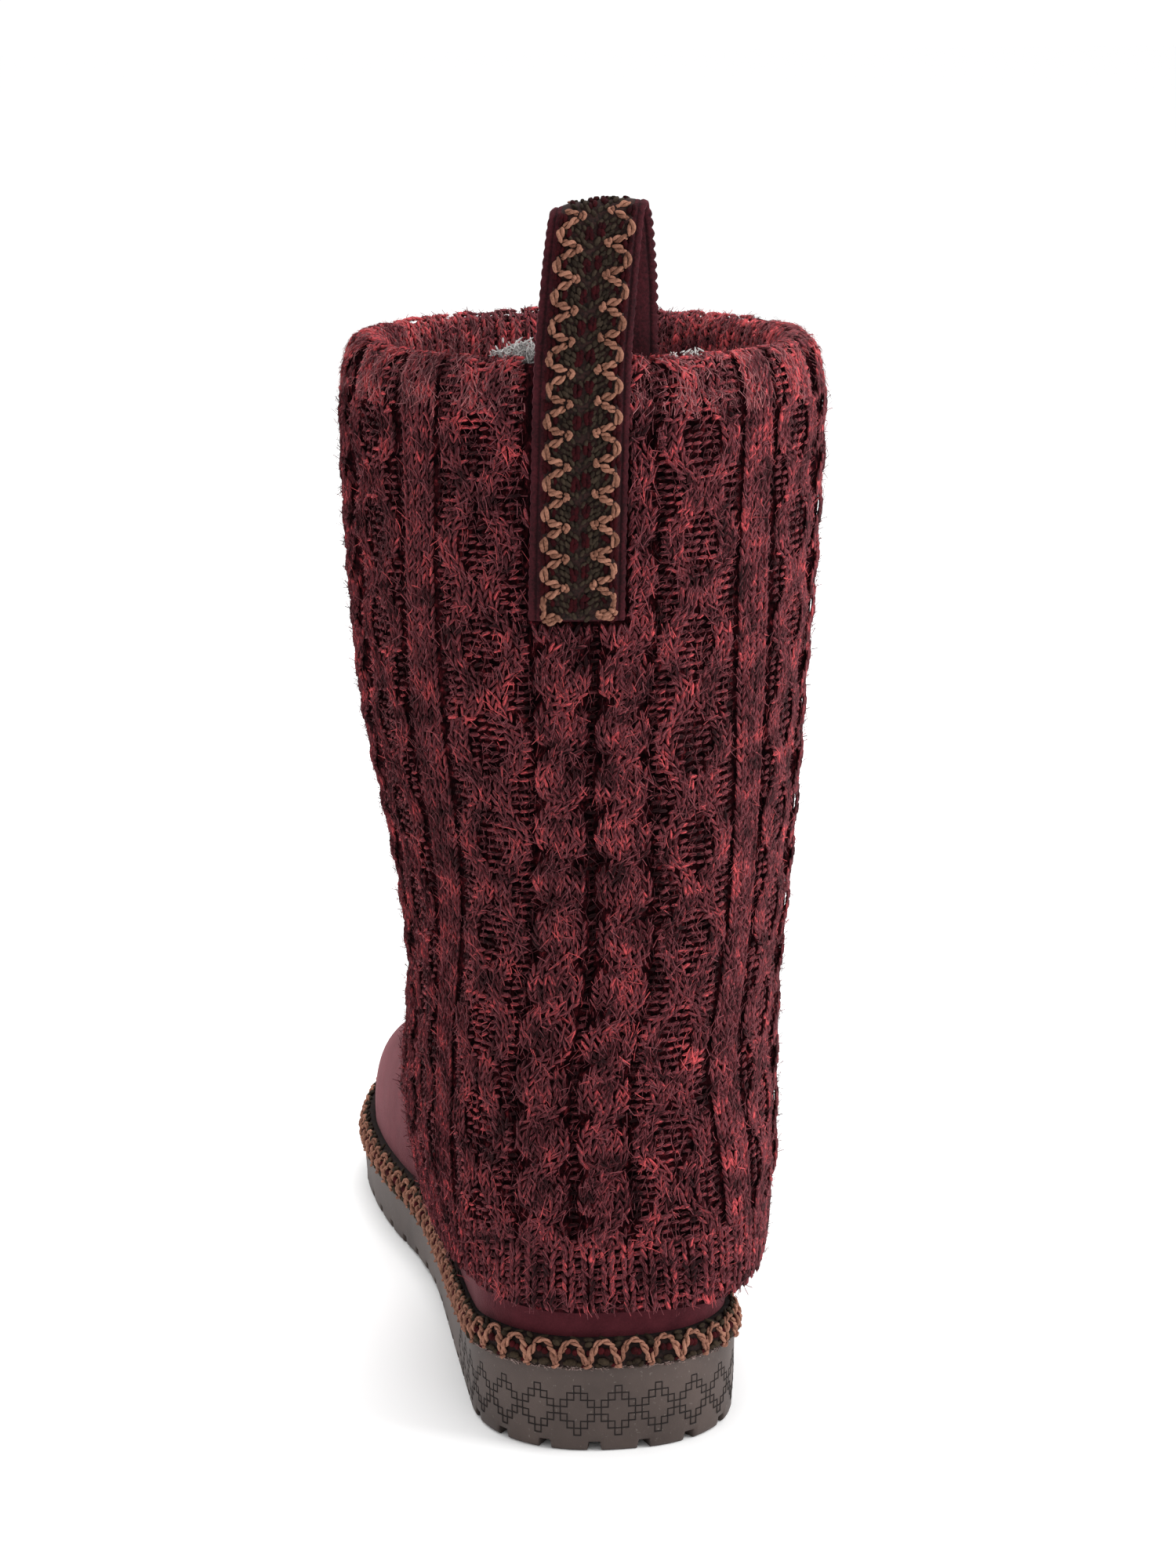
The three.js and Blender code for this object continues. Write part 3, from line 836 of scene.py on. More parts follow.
@dataclass
class Cords:
    """Two-ply cords, gathered one by one and then swept along their lines."""

    rng: np.random.Generator
    pitch: float
    sides: int = 5
    ply_place: float = 0.6
    ply_radius: float = 0.58
    lines: list[Array] = field(default_factory=list)
    radii: list[Array] = field(default_factory=list)
    tones: list[float] = field(default_factory=list)

    def lay(self, line: Array, radius: Array) -> None:
        """Add a cord.

        Args:
            line: Points of its middle, metres, evenly spaced.
            radius: Its radius at each point, metres.
        """
        self.lines += two_ply(line, radius * self.ply_place, self.pitch, self.rng.uniform(0, TAU))
        self.radii += [radius * self.ply_radius] * 2
        self.tones += [self.rng.uniform(0, 1), self.rng.uniform(0, 1)]

    def sweep(self, name: str, material: Material) -> Object:
        """Sweep a round section along every ply.

        Args:
            name: Object's name.
            material: Finish.

        Returns:
            The object.
        """
        edges, base = [], 0
        for line in self.lines:
            n = len(line)
            edges.append(np.stack([np.arange(n - 1), np.arange(1, n)], axis=1) + base)
            base += n
        mesh = bpy.data.meshes.new(name)
        points = np.concatenate(self.lines)
        mesh.from_pydata(points.tolist(), np.concatenate(edges).tolist(), [])
        tone = np.concatenate([np.full(len(a), t) for a, t in zip(self.lines, self.tones)])
        for key, values in (("radius", np.concatenate(self.radii)), ("tone", tone)):
            layer = mesh.attributes.new(key, "FLOAT", "POINT")
            layer.data.foreach_set("value", values.astype(np.float32))
        obj = bpy.data.objects.new(name, mesh)
        bpy.context.collection.objects.link(obj)
        tree = NodeTree(name, {"Sides": self.sides})
        curve = tree.add("GeometryNodeMeshToCurve", Mesh=tree.start.outputs["Geometry"])
        ring = tree.add(
            "GeometryNodeCurvePrimitiveCircle", Resolution=tree.start.outputs["Sides"],
            Radius=1.0,
        )
        swept = tree.add(
            "GeometryNodeCurveToMesh", Curve=curve.outputs[0], Profile_Curve=ring.outputs[0],
            Scale=tree.attribute("radius", "FLOAT"), Fill_Caps=True,
        )
        tree.close(swept.outputs[0], material)
        tree.apply(obj)
        obj.data.shade_smooth()
        return obj


# Finishes


class Shader:
    """A material's nodes under construction."""

    def __init__(self, name: str) -> None:
        """Start a material with its main shader.

        Args:
            name: Material's name.
        """
        self.material = bpy.data.materials.new(name)
        self.material.use_nodes = True
        self.tree = self.material.node_tree
        self.main = next(n for n in self.tree.nodes if n.type == "BSDF_PRINCIPLED")

    def add(self, kind: str, values: dict | None = None, **settings: object) -> Node:
        """Add a node.

        Args:
            kind: Node type.
            values: Input by name or number: a value, or a socket to link.
            settings: Properties of the node.

        Returns:
            The node.
        """
        node = self.tree.nodes.new(kind)
        for key, value in settings.items():
            setattr(node, key, value)
        for key, value in (values or {}).items():
            if isinstance(value, NodeSocket):
                self.tree.links.new(value, node.inputs[key])
            else:
                node.inputs[key].default_value = value
        return node

    def set(self, **values: object) -> None:
        """Set or link inputs of the main shader.

        Args:
            values: Value or socket by the input's name, with underscores for spaces.
        """
        for key, value in values.items():
            socket = self.main.inputs[key.replace("_", " ")]
            if isinstance(value, NodeSocket):
                self.tree.links.new(value, socket)
            else:
                socket.default_value = value

    def attribute(self, name: str, output: str = "Fac") -> NodeSocket:
        """Socket that reads a mesh attribute."""
        return self.add("ShaderNodeAttribute", attribute_name=name).outputs[output]

    def place(self, scale: tuple[float, float, float] = (1, 1, 1)) -> NodeSocket:
        """Object coordinates scaled along each axis."""
        coordinates = self.add("ShaderNodeTexCoord").outputs["Object"]
        return self.add("ShaderNodeMapping", {"Vector": coordinates, "Scale": scale}).outputs[0]

    def noise(
        self, where: NodeSocket, scale: float, detail: float = 2.0, rough: float = 0.5
    ) -> NodeSocket:
        """Noise between 0 and 1."""
        values = {"Vector": where, "Scale": scale, "Detail": detail, "Roughness": rough}
        return self.add("ShaderNodeTexNoise", values).outputs["Fac"]

    def math(self, kind: str, a: object, b: object) -> NodeSocket:
        """Result of a math node."""
        return self.add("ShaderNodeMath", {0: a, 1: b}, operation=kind).outputs[0]

    def weigh(self, a: object, share_a: float, b: object, share_b: float) -> NodeSocket:
        """Sum of two values, each times its share."""
        first, second = self.math("MULTIPLY", a, share_a), self.math("MULTIPLY", b, share_b)
        return self.math("ADD", first, second)

    def less(self, a: object, b: object, share: float) -> NodeSocket:
        """A value less a share of another."""
        return self.math("SUBTRACT", a, self.math("MULTIPLY", b, share))

    def ramp(self, fac: NodeSocket, *stops: tuple) -> NodeSocket:
        """Colour ramp.

        Args:
            fac: Value to read.
            stops: Place and display colour of each stop.

        Returns:
            The colour.
        """
        node = self.add("ShaderNodeValToRGB", {"Fac": fac})
        elements = node.color_ramp.elements
        while len(elements) < len(stops):
            elements.new(0.5)
        for element, (at, display) in zip(elements, stops):
            element.position = at
            element.color = linear(*display)
        return node.outputs["Color"]

    def bump(
        self, height: NodeSocket, distance: float, strength: float = 1.0,
        normal: NodeSocket | None = None,
    ) -> NodeSocket:
        """Normal from a height.

        Args:
            height: The height, 0 to 1.
            distance: What a height of 1 stands for, metres.
            strength: Strength of the bump.
            normal: Normal that it is added to.

        Returns:
            The normal.
        """
        values = {"Height": height, "Distance": distance, "Strength": strength}
        if normal is not None:
            values["Normal"] = normal
        return self.add("ShaderNodeBump", values).outputs[0]


def linear(red: float, green: float, blue: float) -> tuple[float, float, float, float]:
    """Opaque linear colour from one read off in display values 0..255."""
    shares = (red / 255, green / 255, blue / 255)
    light = (c / 12.92 if c <= 0.04045 else ((c + 0.055) / 1.055) ** 2.4 for c in shares)
    return (*light, 1.0)


@dataclass(frozen=True)
class Rubber:
    """Moulded taupe rubber, matt, with faint clouding and pale specks."""

    name: str = "sole_rubber"
    base: Rgb = (76, 63, 58)
    dark: Rgb = (56, 45, 41)
    pale: Rgb = (128, 120, 112)
    speck_share: float = 0.4

    def material(self) -> Material:
        """Build the material.

        Returns:
            The material.
        """
        m = Shader(self.name)
        where = m.place()
        cloud = m.noise(where, 38, 4, 0.6)
        grain = m.noise(where, 2600, 2)
        body = m.ramp(cloud, (0.3, self.dark), (0.7, self.base))
        speck = m.ramp(m.noise(where, 900, 3, 0.7), (0.63, (0, 0, 0)), (0.72, (255, 255, 255)))
        factor, first, second, mixed = 0, 6, 7, 2
        blend = m.add(
            "ShaderNodeMix",
            {factor: m.math("MULTIPLY", speck, self.speck_share), first: body,
             second: linear(*self.pale)},
            data_type="RGBA",
        )
        m.set(Base_Color=blend.outputs[mixed], Roughness=0.62, Specular_IOR_Level=0.35)
        m.set(Normal=m.bump(grain, 0.00008, 0.6, m.bump(cloud, 0.0004, 0.25)))
        return m.material


@dataclass(frozen=True)
class Suede:
    """Burgundy suede with a soft nap."""

    name: str = "suede"
    deep: Rgb = (60, 20, 27)
    fair: Rgb = (80, 31, 38)
    tint: Rgb = (200, 140, 146)

    def material(self) -> Material:
        """Build the material.

        Returns:
            The material.
        """
        m = Shader(self.name)
        where = m.place()
        nap = m.noise(where, 140, 5, 0.62)
        fine = m.noise(where, 1800, 3, 0.6)
        both = m.weigh(nap, 0.6, fine, 0.4)
        m.set(
            Base_Color=m.ramp(both, (0.36, self.deep), (0.66, self.fair)),
            Roughness=0.95, Specular_IOR_Level=0.15, Sheen_Weight=0.5, Sheen_Roughness=0.35,
            Sheen_Tint=linear(*self.tint),
            Normal=m.bump(fine, 0.00025, 0.6, m.bump(nap, 0.0006, 0.3)),
        )
        return m.material


@dataclass(frozen=True)
class KnitYarn:
    """Marled wool: near black, dusty mauve and coral streaks along each stitch."""

    name: str = "knit_yarn"
    black: Rgb = (26, 9, 12)
    wine: Rgb = (78, 24, 31)
    mauve: Rgb = (112, 60, 66)
    coral: Rgb = (192, 76, 80)
    tint: Rgb = (190, 120, 124)
    streak: float = 1.0

    def material(self) -> Material:
        """Build the material.

        Returns:
            The material.
        """
        m = Shader(self.name)
        tone = m.attribute("tone")
        parts = m.add("ShaderNodeSeparateXYZ", {0: m.attribute("local", "Vector")})
        x, y, z = (parts.outputs[axis] for axis in range(3))
        # Each stitch reads its own stretch of the noise, drawn out along the yarn
        seed = m.math("MULTIPLY", tone, 61.0)
        stretched = m.add("ShaderNodeCombineXYZ", {
            0: m.math("ADD", m.math("MULTIPLY", x, 3.2), seed),
            1: m.math("MULTIPLY", y, 1.1),
            2: m.math("ADD", m.math("MULTIPLY", z, 3.2), seed),
        }).outputs[0]
        streaks = m.noise(stretched, 1.6 * self.streak, 2.5, 0.6)
        value = m.weigh(streaks, 0.62, m.noise(m.place(), 130, 2, 0.5), 0.38)
        off = m.math("MULTIPLY", m.math("SUBTRACT", tone, 0.5), 0.16)
        # The deep places of the pattern, read from the depth attribute, are painted darker as shade.
        value = m.less(m.math("ADD", value, off), m.attribute("depth"), 0.12)
        yarn = m.ramp(
            value, (0.42, self.black), (0.475, self.wine), (0.53, self.mauve),
            (0.57, self.wine), (0.63, self.coral),
        )
        m.set(
            Base_Color=yarn, Roughness=0.92, Specular_IOR_Level=0.12, Sheen_Weight=0.16,
            Sheen_Roughness=0.5, Sheen_Tint=linear(*self.tint),
            Normal=m.bump(streaks, 0.0005, 0.5),
        )
        return m.material


@dataclass(frozen=True)
class KnitGroundShade:
    """The inside of the knit, seen between its stitches: the yarn's dark tones, painted darker still
    as the shade there.
    """

    name: str = "knit_ground_with_shade"
    black: Rgb = (14, 4, 6)
    wine: Rgb = (46, 14, 18)
    coral: Rgb = (120, 42, 48)

    def material(self) -> Material:
        """Build the material.

        Returns:
            The material.
        """
        m = Shader(self.name)
        fibre = m.noise(m.place((1, 1, 0.6)), 700, 3, 0.6)
        m.set(
            Base_Color=m.ramp(fibre, (0.42, self.black), (0.6, self.wine), (0.74, self.coral)),
            Roughness=0.98, Specular_IOR_Level=0.02, Normal=m.bump(fibre, 0.0008, 0.7),
        )
        return m.material


@dataclass(frozen=True)
class Cord:
    """Twisted cotton cord of one colour."""

    name: str
    deep: Rgb
    fair: Rgb

    def material(self) -> Material:
        """Build the material.

        Returns:
            The material.
        """
        m = Shader(self.name)
        fibre = m.noise(m.place(), 1500, 3, 0.6)
        value = m.weigh(fibre, 0.75, m.attribute("tone"), 0.25)
        m.set(
            Base_Color=m.ramp(value, (0.3, self.deep), (0.68, self.fair)),
            Roughness=0.92, Specular_IOR_Level=0.08, Sheen_Weight=0.08,
            Sheen_Tint=linear(*self.fair), Normal=m.bump(fibre, 0.0003, 0.6),
        )
        return m.material


@dataclass(frozen=True)
class Velvet:
    """Burgundy tape with a short pile, darker in its sewn line."""

    name: str = "loop_tape"
    deep: Rgb = (30, 8, 12)
    fair: Rgb = (66, 21, 28)
    tint: Rgb = (170, 90, 105)

    def material(self) -> Material:
        """Build the material.

        Returns:
            The material.
        """
        m = Shader(self.name)
        where = m.place()
        pile = m.noise(where, 1300, 3, 0.6)
        both = m.weigh(pile, 0.6, m.noise(where, 90, 2), 0.4)
        value = m.less(both, m.attribute("seam"), 0.2)
        m.set(
            Base_Color=m.ramp(value, (0.36, self.deep), (0.66, self.fair)),
            Roughness=0.93, Specular_IOR_Level=0.15, Sheen_Weight=0.4, Sheen_Roughness=0.35,
            Sheen_Tint=linear(*self.tint), Normal=m.bump(pile, 0.0004, 0.6),
        )
        return m.material


@dataclass(frozen=True)
class Fleece:
    """Off-white woollen pile."""

    name: str = "fleece"
    deep: Rgb = (150, 146, 145)
    fair: Rgb = (222, 219, 216)

    def material(self) -> Material:
        """Build the material.

        Returns:
            The material.
        """
        m = Shader(self.name)
        curl = m.noise(m.place(), 420, 4, 0.65)
        m.set(
            Base_Color=m.ramp(curl, (0.32, self.deep), (0.66, self.fair)),
            Roughness=0.97, Specular_IOR_Level=0.1, Sheen_Weight=0.5,
            Normal=m.bump(curl, 0.0012, 0.9),
        )
        return m.material


@dataclass(frozen=True)
class Plain:
    """A small plain finish with a fine grain."""

    name: str
    deep: Rgb
    fair: Rgb
    scale: float = 900.0
    rough: float = 0.8

    def material(self) -> Material:
        """Build the material.

        Returns:
            The material.
        """
        m = Shader(self.name)
        grain = m.noise(m.place(), self.scale, 3, 0.6)
        m.set(
            Base_Color=m.ramp(grain, (0.35, self.deep), (0.65, self.fair)),
            Roughness=self.rough, Specular_IOR_Level=0.25, Normal=m.bump(grain, 0.0002, 0.4),
        )
        return m.material


# Sole


@dataclass
class Sole:
    """Wedge of moulded rubber with lugs, edge notches and stepped diamonds round the heel."""

    notch_pitch: float = 14.0
    notch_wide: float = 3.2
    notch_tall: float = 2.5
    notch_deep: float = 7.0
    notch_flank: float = 0.35
    groove_wide: float = 3.0
    groove_deep: float = 2.2
    grooves: tuple[float, ...] = (18, 34, 88, 172, 190, 208, 226)
    zigzag: float = 2.0
    foot_in: float = 0.5
    foot_tall: float = 0.5
    lip: float = 0.8
    rim: float = 6.5
    diamond_pitch: float = 10.98
    diamond_steps: int = 3
    diamond_shift: float = 0.35
    square: float = 1.83
    heel_reach: float = 78.0
    flecks: int = 2600

    def __post_init__(self) -> None:
        """Measure the outline."""
        self.turns = np.linspace(0, 1, 8001)
        self.lengths = run_of(*sole_outline(self.turns, 0.0))
        self.half = self.lengths[len(self.turns) // 2]

    def turn_at(self, length: Array) -> Array:
        """Turn at a length round the outline from the back of the heel."""
        return np.interp(np.mod(length, self.lengths[-1]), self.lengths, self.turns)

    def side_inset(self, share: Array) -> Array:
        """How far the rubber's side stands in from the edge at a share of its height."""
        return self.foot_in * (1 - share) ** 1.6

    def stations(self) -> tuple[Array, Array]:
        """Stations of one half of the outline.

        Returns:
            Their lengths from the heel, and 1 for those in a notch.
        """
        count = round(self.half / self.notch_pitch)
        pitch = self.half / count
        half, flank = self.notch_wide / 2, self.notch_flank
        lengths, notched = [0.0], [0.0]
        for n in range(count):
            middle = (n + 0.5) * pitch
            cuts = [
                (middle - half - flank, 0), (middle - half, 1), (middle, 1), (middle + half, 1),
                (middle + half + flank, 0),
            ]
            fill = np.linspace(middle + half + flank, middle + pitch - half - flank, 9)[1:-1]
            if n + 1 == count:
                fill = fill[fill < self.half - 0.4]
            if n == 0:
                lead = np.linspace(0, middle - half - flank, 6)[1:-1]
                cuts = [(v, 0) for v in lead] + cuts
            cuts += [(v, 0) for v in fill]
            lengths += [c[0] for c in cuts]
            notched += [float(c[1]) for c in cuts]
        return np.array(lengths), np.array(notched)

    def groove_depth(self, x: Array, s: Array, reach: Array) -> Array:
        """Depth of the zigzag cross grooves.

        Args:
            x: Distance from the sole's middle line.
            s: Distance from the back of the heel.
            reach: Half length of the grooves there.

        Returns:
            The depth.
        """
        deep = np.zeros_like(x)
        for middle in self.grooves:
            zig = self.zigzag * (2 * np.abs(np.mod(x / reach + 1, 1.0) - 0.5) * 2 - 1)
            off = np.abs(s - middle - zig)
            deep = np.maximum(deep, 1 - smooth((off - self.groove_wide / 2 + 0.4) / 0.8))
        inside = 1 - smooth((np.abs(x) - reach + 2) / 2)
        return self.groove_deep * deep * inside

    def ring(self, turns: Array, inset: float, share: float, lift: Array) -> Array:
        """Ring of the rubber's skin.

        Args:
            turns: Turns of the stations.
            inset: Distance in from the edge.
            share: 0 at the underside and 1 at the top.
            lift: Height above that.

        Returns:
            Points in metres.
        """
        x, s = sole_outline(turns, inset)
        return to_metres(x, s, mix(UNDER(s), TOP(s), share) + lift)

    def body(self) -> None:
        """The rubber wedge."""
        lengths, notched = self.stations()
        back = (self.lengths[-1] - lengths[1:])[::-1]
        turns = self.turn_at(np.concatenate([lengths, [self.half], back]))
        notch = np.concatenate([notched, [0.0], notched[1:][::-1]])
        up, side = self.notch_tall, 1 - notch
        # Underside, from its middle line out to the notches
        edge, s = sole_outline(turns, self.notch_deep + 0.6)
        middle = (PLAN_INNER(s) - PLAN_OUTER(s)) / 2
        reach = np.maximum(PLAN_INNER(s) - self.notch_deep - 3.5, 4)
        rings = []
        for share in np.linspace(1, 0, 15):
            x = mix(middle, edge, 1 - share)
            rings.append(to_metres(x, s, UNDER(s) + self.groove_depth(x - middle, s, reach)))
        # Bevelled lower edge, cut by the notches
        for inset, lift in (
            (self.notch_deep, notch * up), (4.0, notch * up), (1.3, notch * up),
            (0.75, notch * (up + 0.1) + side * 0.5), (0.5, notch * (up + 0.3) + side * 1.4),
        ):
            rings.append(self.ring(turns, inset, 0, lift))
        # Side wall, lip and top
        for share in np.linspace(0.06, 1, 9):
            lift = mix(up + self.foot_tall, -self.lip, share)
            rings.append(self.ring(turns, self.side_inset(share), share, lift))
        for inset, lift in ((0.12, -0.35), (0.7, 0.0), (self.rim, 0.0)):
            rings.append(self.ring(turns, inset, 1, lift))
        edge, s = sole_outline(turns, self.rim)
        middle = (PLAN_INNER(s) - PLAN_OUTER(s)) / 2
        for share in np.linspace(0.25, 1, 5):
            rings.append(to_metres(mix(edge, middle, share), s, TOP(s)))
        made = skin("sole_wedge", rings, Rubber().material(), poles=True)
        finish_piece(made, Piece.RUBBER, "outsole")

    def marks(self) -> None:
        """Outlines of small squares that step round each diamond, painted near black as the shade in
        their engraved lines.
        """
        count, steps = int(self.heel_reach / self.diamond_pitch), self.diamond_steps
        places = [
            (n * self.diamond_pitch, i, j)
            for n in range(-count, count + 1)
            for i in range(-steps, steps + 1)
            for j in range(-steps, steps + 1)
            if abs(i) + abs(j) == steps and (i < steps or n == count)
        ]
        middle, across_steps, up_steps = np.array(places).T
        length = middle + across_steps * self.square + self.diamond_shift
        fade = np.clip(1.2 - np.abs(middle) / self.heel_reach, 0.3, 1)
        x, s = sole_outline(self.turn_at(length), 0.0)
        x1, s1 = sole_outline(self.turn_at(length + 0.5), 0.0)
        x0, s0 = sole_outline(self.turn_at(length - 0.5), 0.0)
        height = TOP(s) - UNDER(s)
        z = UNDER(s) + height * 0.5 - 0.4 + up_steps * self.square * 1.1
        keep = (height > 15.8) & (z < TOP(s) - 1.6) & (z > UNDER(s) + 1.6)
        across = to_metres(x1, s1, z) - to_metres(x0, s0, z)
        along = np.zeros_like(across)
        along[:, 2] = 1
        out = np.cross(across, along)
        out /= np.linalg.norm(out, axis=1, keepdims=True)
        foot = self.notch_tall + self.foot_tall
        share = (z - UNDER(s) - foot) / np.maximum(TOP(s) - self.lip - foot - UNDER(s), 1)
        inset = self.side_inset(np.clip(share, 0, 1)) + 0.005
        outward = np.sign(np.einsum("ij,ij->i", out, to_metres(x, s - 70, 0 * z)))[:, None]
        points = to_metres(x, s, z) - out * outward * inset[:, None] * MM
        size = (0.86 + 0.14 * fade)[:, None] * self.square * np.array([1, 1.08, 1]) * MM
        # Painted shade: the engraved lines are coloured near black.
        dark = Plain("engraved_line_shade", (17, 12, 11), (31, 24, 22), 1200, 0.9).material()
        made = Scatter("heel_diamonds", Grain.FRAME).make(
            points[keep], euler_of(across, along)[keep], size[keep], dark,
            {"tone": np.full(keep.sum(), 0.5)},
        )
        finish_piece(made, Piece.RUBBER)

    def torn_edge(self) -> None:
        """Ragged flecks of dried cement and fibre along the top of the rubber."""
        rng = np.random.default_rng(11)
        length = rng.uniform(0, self.lengths[-1], self.flecks)
        heavy = np.abs((length + self.half) % self.lengths[-1] - self.half) < 75
        length = length[heavy | (rng.uniform(0, 1, self.flecks) < 0.45)]
        count = len(length)
        x, s = sole_outline(self.turn_at(length), 0.0)
        x1, s1 = sole_outline(self.turn_at(length + 0.5), 0.0)
        z = TOP(s) - 0.35 + rng.normal(0, 0.28, count)
        across = to_metres(x1, s1, z) - to_metres(x, s, z)
        along = across + rng.normal(0, 0.00018, (count, 3))
        wide = rng.uniform(0.2, 0.45, count)
        long = rng.uniform(0.5, 1.9, count)
        size = np.stack([wide, long, rng.uniform(0.12, 0.3, count)], axis=1) * MM
        up = np.tile([0.0, 0.0, 1.0], (count, 1))
        cement = Plain("torn_cement", (84, 62, 58), (156, 136, 130), 1500, 0.9).material()
        made = Scatter("torn_cement_line", Grain.SPINDLE, 3, 3).make(
            to_metres(x, s, z), euler_of(up, along), size, cement,
            {"tone": rng.uniform(0, 1, count)},
        )
        finish_piece(made, Piece.RUBBER)

    def build(self) -> None:
        """Make and finish the sole's pieces."""
        self.body()
        self.marks()
        self.torn_edge()


# Suede foot


@dataclass
class SuedeFoot:
    """Low suede foot from the sole to the ankle, a shell with a real wall."""

    stations: int = 300
    levels: int = 56
    inner_levels: int = 12
    # Flex folds: place along the foot, width, depth, and how far off the middle line
    folds: tuple[tuple[float, ...], ...] = (
        (188, 5.5, 0.75, 0.0), (199, 4.5, 0.55, 14.0), (176, 6.0, 0.45, -12.0),
    )

    def creases(self, x: Array, s: Array, z: Array) -> Array:
        """Depth of the soft flex folds across the ball of the foot.

        Args:
            x: Place across the foot.
            s: Place along it.
            z: Height.

        Returns:
            The depth.
        """
        depth = np.zeros_like(x)
        for middle, wide, deep, side in self.folds:
            line = middle + 0.0016 * (x - side) ** 2
            depth += deep * np.exp(-(((s - line) / wide) ** 2)) * smooth((z - 36) / 24)
        return depth

    def build(self) -> None:
        """Make and finish the suede shell."""
        turns = np.linspace(0, 1, MEASURE)
        x, s, _ = foot_point(turns, np.full_like(turns, 0.12), 0.0)
        turns = even_turns(x, s, turns, self.stations)
        rings = []
        for level in np.linspace(0, 1, self.levels) ** 1.15:
            x, s, z = foot_point(turns, np.full_like(turns, level), 0.0)
            rings.append(to_metres(x, s, z - self.creases(x, s, z)))
        for level in np.linspace(1, 0, self.inner_levels):
            inside = foot_point(turns, np.full_like(turns, level), SUEDE_WALL)
            rings.append(to_metres(*inside))
        made = skin("suede_foot", rings, Suede().material(), tube=True)
        finish_piece(made, Piece.SUEDE, "foot_upper")


@dataclass
class Insole:
    """Soft fleece-topped bed inside the foot."""

    stations: int = 200
    clear: float = 1.8
    fill: float = 0.7
    # Rings from the middle of the underside round to the middle of the top: inset, height, and
    # how far each is folded to the middle line
    rings: tuple[tuple[float, ...], ...] = (
        (3.0, FIT, 1.0), (3.0, FIT, 0.5), (0.6, FIT, 0), (0.1, 1.0, 0), (0.0, 2.0, 0),
        (0.3, 3.2, 0), (1.2, 3.9, 0), (3.0, 4.0, 0), (3.0, 3.8, 0.5), (3.0, 3.8, 1.0),
    )

    def build(self, material: Material) -> None:
        """Make and finish the insole.

        Args:
            material: The fleece.
        """
        inset = float(foot_inset(142)) + SUEDE_WALL + self.clear
        turns = np.linspace(0, 1, MEASURE)
        turns = even_turns(*sole_outline(turns, inset), turns, self.stations)
        rings = []
        for extra, height, fold in self.rings:
            x, s = sole_outline(turns, inset + extra)
            middle = (PLAN_INNER(s) - PLAN_OUTER(s)) / 2
            rings.append(to_metres(mix(x, middle, fold), s, TOP(s) + height))
        made = skin("insole_bed", rings, material, poles=True)
        finish_piece(made, Piece.FLEECE, "insole")


# Braided trim


